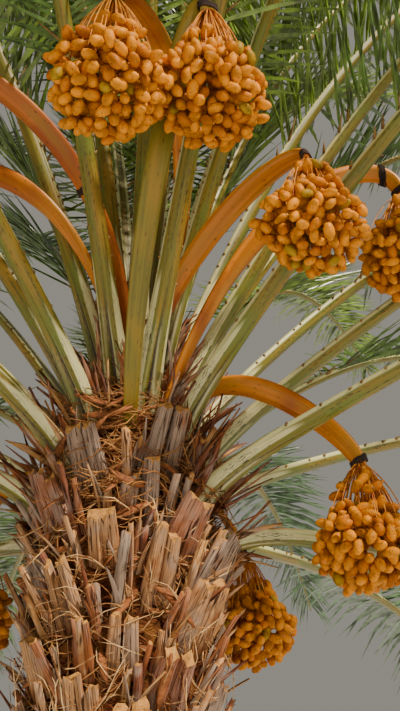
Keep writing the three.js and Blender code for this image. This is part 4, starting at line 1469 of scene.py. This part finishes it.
def date_spots(count, chance):
    """Places in a bunch and the ways that dates point there: close over its surface, looser inside and a
    few up among the strands."""
    spots = []
    for radius, portion in DATE_SHELLS:
        n = int(count * portion)
        i = np.arange(n) + 0.5
        z = 1 - 2 * i / n
        angle = i * math.radians(GOLDEN_ANGLE) + chance.normal(0, 0.15, n)
        flat = np.sqrt(1 - z * z)
        lumps = 0.97 + 0.07 * np.sin(2 * angle + 2 * z + chance.uniform(0, 6.28))
        ball = np.stack([np.cos(angle) * flat, np.sin(angle) * flat, z], -1)
        spots.append(ball * (radius * lumps * chance.normal(0.97, 0.06, n))[:, None])
    ball = np.concatenate(spots)
    # A bunch is fullest below its middle and narrows to where the strands come in
    narrow = 1 - BUNCH_NECK * np.clip(ball[:, 2:], 0, 1) * [1, 1, 0]
    up = chance.uniform(0.95, 1.5, count - len(ball))
    wide = BUNCH_RADIUS * 0.5 * (2.1 - up)[:, None]
    strays = outward(chance.uniform(0, 360, len(up))) * wide + UP * up[:, None] * BUNCH_HEIGHT
    at = spread_apart(np.concatenate([ball * SHELL_REACH * narrow, strays]), DATE_GAP)
    # Dates hang from their stalk ends and lie on each other, so they point down and any way round
    out = unit(at)
    way = unit(out * 0.4 - UP * 0.4 + unit(chance.normal(0, 1, out.shape)) * 0.7)
    return at, way


def turned_pattern(name, stations, girths, sides, dents=1.0):
    """A round shape one metre long and up to one metre thick along X, to be scaled."""
    angle = corner_angles(sides)
    radii = 0.5 * girths[:, None] * dents * np.ones(sides)
    x = np.broadcast_to((stations - 0.5)[:, None], radii.shape)
    rings = np.stack([x, np.cos(angle) * radii, np.sin(angle) * radii], -1)
    return bar_piece(name, rings, stations, np.linspace(0, 1, sides + 1))


def date_pattern(name, plump, seed):
    """A date with its blunt tip at +X."""
    chance = np.random.default_rng(seed)
    dents = 1 + chance.normal(0, DATE_DENTS, (len(DATE_STATIONS), DATE_SIDES))
    return turned_pattern(name, DATE_STATIONS, DATE_GIRTHS**plump, DATE_SIDES, dents)


def marked_points(at, turns):
    """Loose points, each with the turn that its copy takes."""
    mesh = bpy.data.meshes.new("date_points")
    mesh.vertices.add(len(at))
    mesh.vertices.foreach_set("co", at.ravel())
    mesh.attributes.new("turn", "FLOAT_VECTOR", "POINT").data.foreach_set("vector", turns.ravel())
    return scene_object("date_points", mesh)


def turns_to(ways, rolls):
    """Euler angles that turn +X to each way, after a roll about it."""
    yaw = np.arctan2(ways[:, 1], ways[:, 0])
    pitch = -np.arcsin(np.clip(ways[:, 2], -1, 1))
    return np.stack([rolls, pitch, yaw], -1)


def dates(settings):
    """The dates of all bunches, in three pieces by their colour, and the calyx at each one's stalk end."""
    chance = np.random.default_rng(29)
    spots, ways = [], []
    for mass in fruit_masses():
        at, way = date_spots(settings.dates, chance)
        spots.append(at + mass)
        ways.append(way)
    spots = np.concatenate(spots)
    ways = np.concatenate(ways)
    turns = turns_to(ways, chance.uniform(0, 2 * math.pi, len(spots)))
    kinds = chance.choice(3, size=len(spots), p=[0.7, 0.26, 0.04])
    tree = placed_tree()
    shapes = [date_pattern(f"date_{i}", plump, i) for i, plump in enumerate(DATE_PLUMPNESS)]
    shapes = pattern_collection(shapes)
    calyx = pattern_collection([turned_pattern("cap", CAP_STATIONS, CAP_GIRTHS, CAP_SIDES)])
    heads = spots - ways * settings.date_length * 0.48
    size = {"Length": settings.date_length, "Width": settings.date_width, "Spread": 0.1}
    cap_size = {"Length": CAP_LENGTH, "Width": CAP_WIDTH, "Spread": 0.12}
    cap_material = strand_material("calyx_cap", linear("#c98f3a"), linear("#7a4a18"), 0.6)
    golden = date_material("golden_date_skin", settings.golden)
    amber = date_material("amber_date_skin", settings.amber)
    yellow = date_material("yellow_date_skin", settings.yellow)
    groups = [
        ("golden_dates", spots, kinds == 0, shapes, size, golden),
        ("amber_dates", spots, kinds == 1, shapes, size, amber),
        ("yellow_dates", spots, kinds == 2, shapes, size, yellow),
        ("date_caps", heads, kinds >= 0, calyx, cap_size, cap_material),
    ]
    for seed, (name, places, chosen, things, sizes, material) in enumerate(groups):
        carrier = marked_points(places[chosen], turns[chosen])
        given = {"Things": things, "Material": material, "Seed": seed}
        piece = grown(name, carrier, tree, {**given, **sizes})
        discard(carrier)
        settle(piece, BUNCH_NODES)
    discard(shapes, calyx)


STRAND_STATIONS = 8
KNOT_RADIUS = 0.014  # of the ring in which the strands spring from the knot
STRAND_TAPER = (1.15, 0.7)  # thickness at the knot and at the end, as shares of the setting
# How high above the middle of the dates an outer strand ends and an inner one, as shares of the mass's
# half height
STRAND_ENDS = (-0.1, 0.62)


def strands(settings):
    """The strands of each bunch, which spring from the stalk's end like a broom and run in among dates."""
    pile = Pile()
    chance = np.random.default_rng(31)
    s = np.linspace(0, 1, STRAND_STATIONS)[:, None]
    count = settings.strands
    for knot, drop, *_ in FRUIT.values():
        i = np.arange(count) + 0.5
        out = outward(i * GOLDEN_ANGLE + chance.normal(0, 9, count))
        far = np.sqrt(i / count)
        start = np.array(knot) + out * (KNOT_RADIUS * far)[:, None] - UP * 0.0005
        # The outer strands run down to the widest place of the dates, and the inner ones end near their top
        end_height = mix(*STRAND_ENDS, 1 - far) * BUNCH_HEIGHT * chance.uniform(0.6, 1.1, count) - drop
        end = np.array(knot) + out * (BUNCH_RADIUS * 0.84 * far * chance.uniform(0.8, 1.05, count))[:, None]
        end = end + UP * end_height[:, None]
        bow = start + (end - start) * [0.78, 0.78, 0.4] + chance.normal(0, 0.006, (count, 3))
        paths = (1 - s) ** 2 * start[:, None] + 2 * s * (1 - s) * bow[:, None] + s**2 * end[:, None]
        radii = settings.strand_width / 2 * mix(*STRAND_TAPER, s[:, 0]) * np.ones((count, 1))
        pile.round_bars(paths, radii, sides=5, span=0.015)
    material = strand_material("fruit_strand_rind", settings.strand, linear("#9a4a14"), 0.45)
    settle(pile.piece("fruit_strands", [material]), BUNCH_NODES)


# Stage

FLOOR_RADIUS = 400
FLOOR_SIDES = 96
SKY_STRENGTH = 0.36
SUN_AT = (6.5, -7.5, 12.0)
SUN_STRENGTH = 7.0
SUN_WIDTH = 3  # degrees, which softens the shadows' edges a little


def floor():
    """A round studio floor under the palm, so wide that it reaches the horizon."""
    mesh = bpy.data.meshes.new("floor")
    rim = outward(np.arange(FLOOR_SIDES) * 360 / FLOOR_SIDES) * FLOOR_RADIUS
    mesh.from_pydata(rim.tolist(), [], [list(range(FLOOR_SIDES))])
    # Painted studio floor: matte and even, with the least trace of cloudiness
    material, tree = new_material("pale_floor")
    place = (add(tree, "ShaderNodeTexCoord"), "Object")
    cloud = streaks(tree, place, 1.5)
    body = lay(tree, linear("#dfe2e5"), linear("#e6e8ea"), cloud, 0.3, 0.7)
    surface(tree, body, cloud, 0.0001, {"Roughness": 0.8, "Specular IOR Level": 0.2})
    mesh.materials.append(material)
    scene_object("floor", mesh)


def sun():
    """A warm sun from the right, high up behind the camera, turned to the crown's foot."""
    lamp = bpy.data.lights.new("key", "SUN")
    lamp.energy = SUN_STRENGTH
    lamp.color = linear("#fff0d8")[:3]
    lamp.angle = math.radians(SUN_WIDTH)
    piece = scene_object("key", lamp)
    piece.location = SUN_AT
    piece.rotation_euler = (Vector((0, 0, CROWN_FOOT)) - Vector(SUN_AT)).to_track_quat("-Z", "Y").to_euler()


def sky():
    """An even warm grey all round, which fills the shadows."""
    world = bpy.data.worlds.new("studio")
    world.use_nodes = True
    backdrop = world.node_tree.nodes["Background"]
    backdrop.inputs["Color"].default_value = linear("#e4dfd2")
    backdrop.inputs["Strength"].default_value = SKY_STRENGTH
    bpy.context.scene.world = world


def camera():
    """The photograph's camera, which the scene is seen from."""
    data = bpy.data.cameras.new("camera")
    data.lens = data.sensor_width * FOCAL_PIXELS / PHOTO_HEIGHT
    piece = scene_object("camera", data)
    piece.location = CAMERA_AT
    piece.rotation_euler = Euler((math.radians(90 + CAMERA_PITCH), 0, 0))
    bpy.context.scene.camera = piece


# Add-on

class PALM_OT_trunk(bpy.types.Operator):
    """Dress the trunk with its fibre mat, its split leaf bases and what is left of their sheaths"""

    bl_idname = "palm.trunk"
    bl_label = "Trunk"

    def execute(self, context):
        settings = context.scene.palm_trunk
        boots = fitted_boots()
        stem(settings)
        leaf_bases(settings, boots)
        slivers(settings, boots)
        return {"FINISHED"}


class PALM_OT_fibres(bpy.types.Operator):
    """Strew straws, fibres and papery strips between the leaf bases"""

    bl_idname = "palm.fibres"
    bl_label = "Fibres"

    def execute(self, context):
        fibres(context.scene.palm_trunk)
        return {"FINISHED"}


class PALM_OT_petioles(bpy.types.Operator):
    """Make the fronds' ribs, their spines and the spear of young leaves"""

    bl_idname = "palm.petioles"
    bl_label = "Petioles"

    def execute(self, context):
        petioles(context.scene.palm_frond)
        spines(context.scene.palm_frond)
        spear()
        return {"FINISHED"}


class PALM_OT_leaflets(bpy.types.Operator):
    """Make the leaflets of every frond"""

    bl_idname = "palm.leaflets"
    bl_label = "Leaflets"

    def execute(self, context):
        leaflets(context.scene.palm_frond)
        return {"FINISHED"}


class PALM_OT_stalks(bpy.types.Operator):
    """Make the fruit stalks and the twine round them"""

    bl_idname = "palm.stalks"
    bl_label = "Fruit stalks"

    def execute(self, context):
        fruit_stalks(context.scene.palm_fruit)
        twine_ties(context.scene.palm_fruit)
        return {"FINISHED"}


class PALM_OT_bunches(bpy.types.Operator):
    """Make the strands, dates and calyx caps of every bunch"""

    bl_idname = "palm.bunches"
    bl_label = "Date bunches"

    def execute(self, context):
        strands(context.scene.palm_fruit)
        dates(context.scene.palm_fruit)
        return {"FINISHED"}


class PALM_OT_stage(bpy.types.Operator):
    """Set the floor, the sky, the sun and the camera"""

    bl_idname = "palm.stage"
    bl_label = "Stage"

    def execute(self, context):
        floor()
        sky()
        sun()
        camera()
        return {"FINISHED"}


OPERATORS = (
    PALM_OT_trunk,
    PALM_OT_fibres,
    PALM_OT_petioles,
    PALM_OT_leaflets,
    PALM_OT_stalks,
    PALM_OT_bunches,
    PALM_OT_stage,
)


class PALM_PT_panel(bpy.types.Panel):
    bl_label = "Date Palm"
    bl_space_type = "VIEW_3D"
    bl_region_type = "UI"
    bl_category = "Date Palm"

    def draw(self, context):
        for operator in OPERATORS:
            self.layout.operator(operator.bl_idname)
        for settings in (context.scene.palm_trunk, context.scene.palm_frond, context.scene.palm_fruit):
            box = self.layout.box()
            for key in settings.__annotations__:
                box.prop(settings, key)


SETTINGS = {
    "palm_trunk": PalmTrunkSettings,
    "palm_frond": PalmFrondSettings,
    "palm_fruit": PalmFruitSettings,
}


def register():
    for group in SETTINGS.values():
        bpy.utils.register_class(group)
    for name, group in SETTINGS.items():
        setattr(bpy.types.Scene, name, bpy.props.PointerProperty(type=group))
    for operator in OPERATORS:
        bpy.utils.register_class(operator)
    bpy.utils.register_class(PALM_PT_panel)


def unregister():
    bpy.utils.unregister_class(PALM_PT_panel)
    for operator in reversed(OPERATORS):
        bpy.utils.unregister_class(operator)
    for name, group in reversed(SETTINGS.items()):
        delattr(bpy.types.Scene, name)
        bpy.utils.unregister_class(group)


def main():
    register()
    bpy.ops.palm.trunk()
    bpy.ops.palm.fibres()
    bpy.ops.palm.petioles()
    bpy.ops.palm.leaflets()
    bpy.ops.palm.stalks()
    bpy.ops.palm.bunches()
    bpy.ops.palm.stage()
    bpy.context.view_layer.update()


if __name__ == "__main__":
    main()
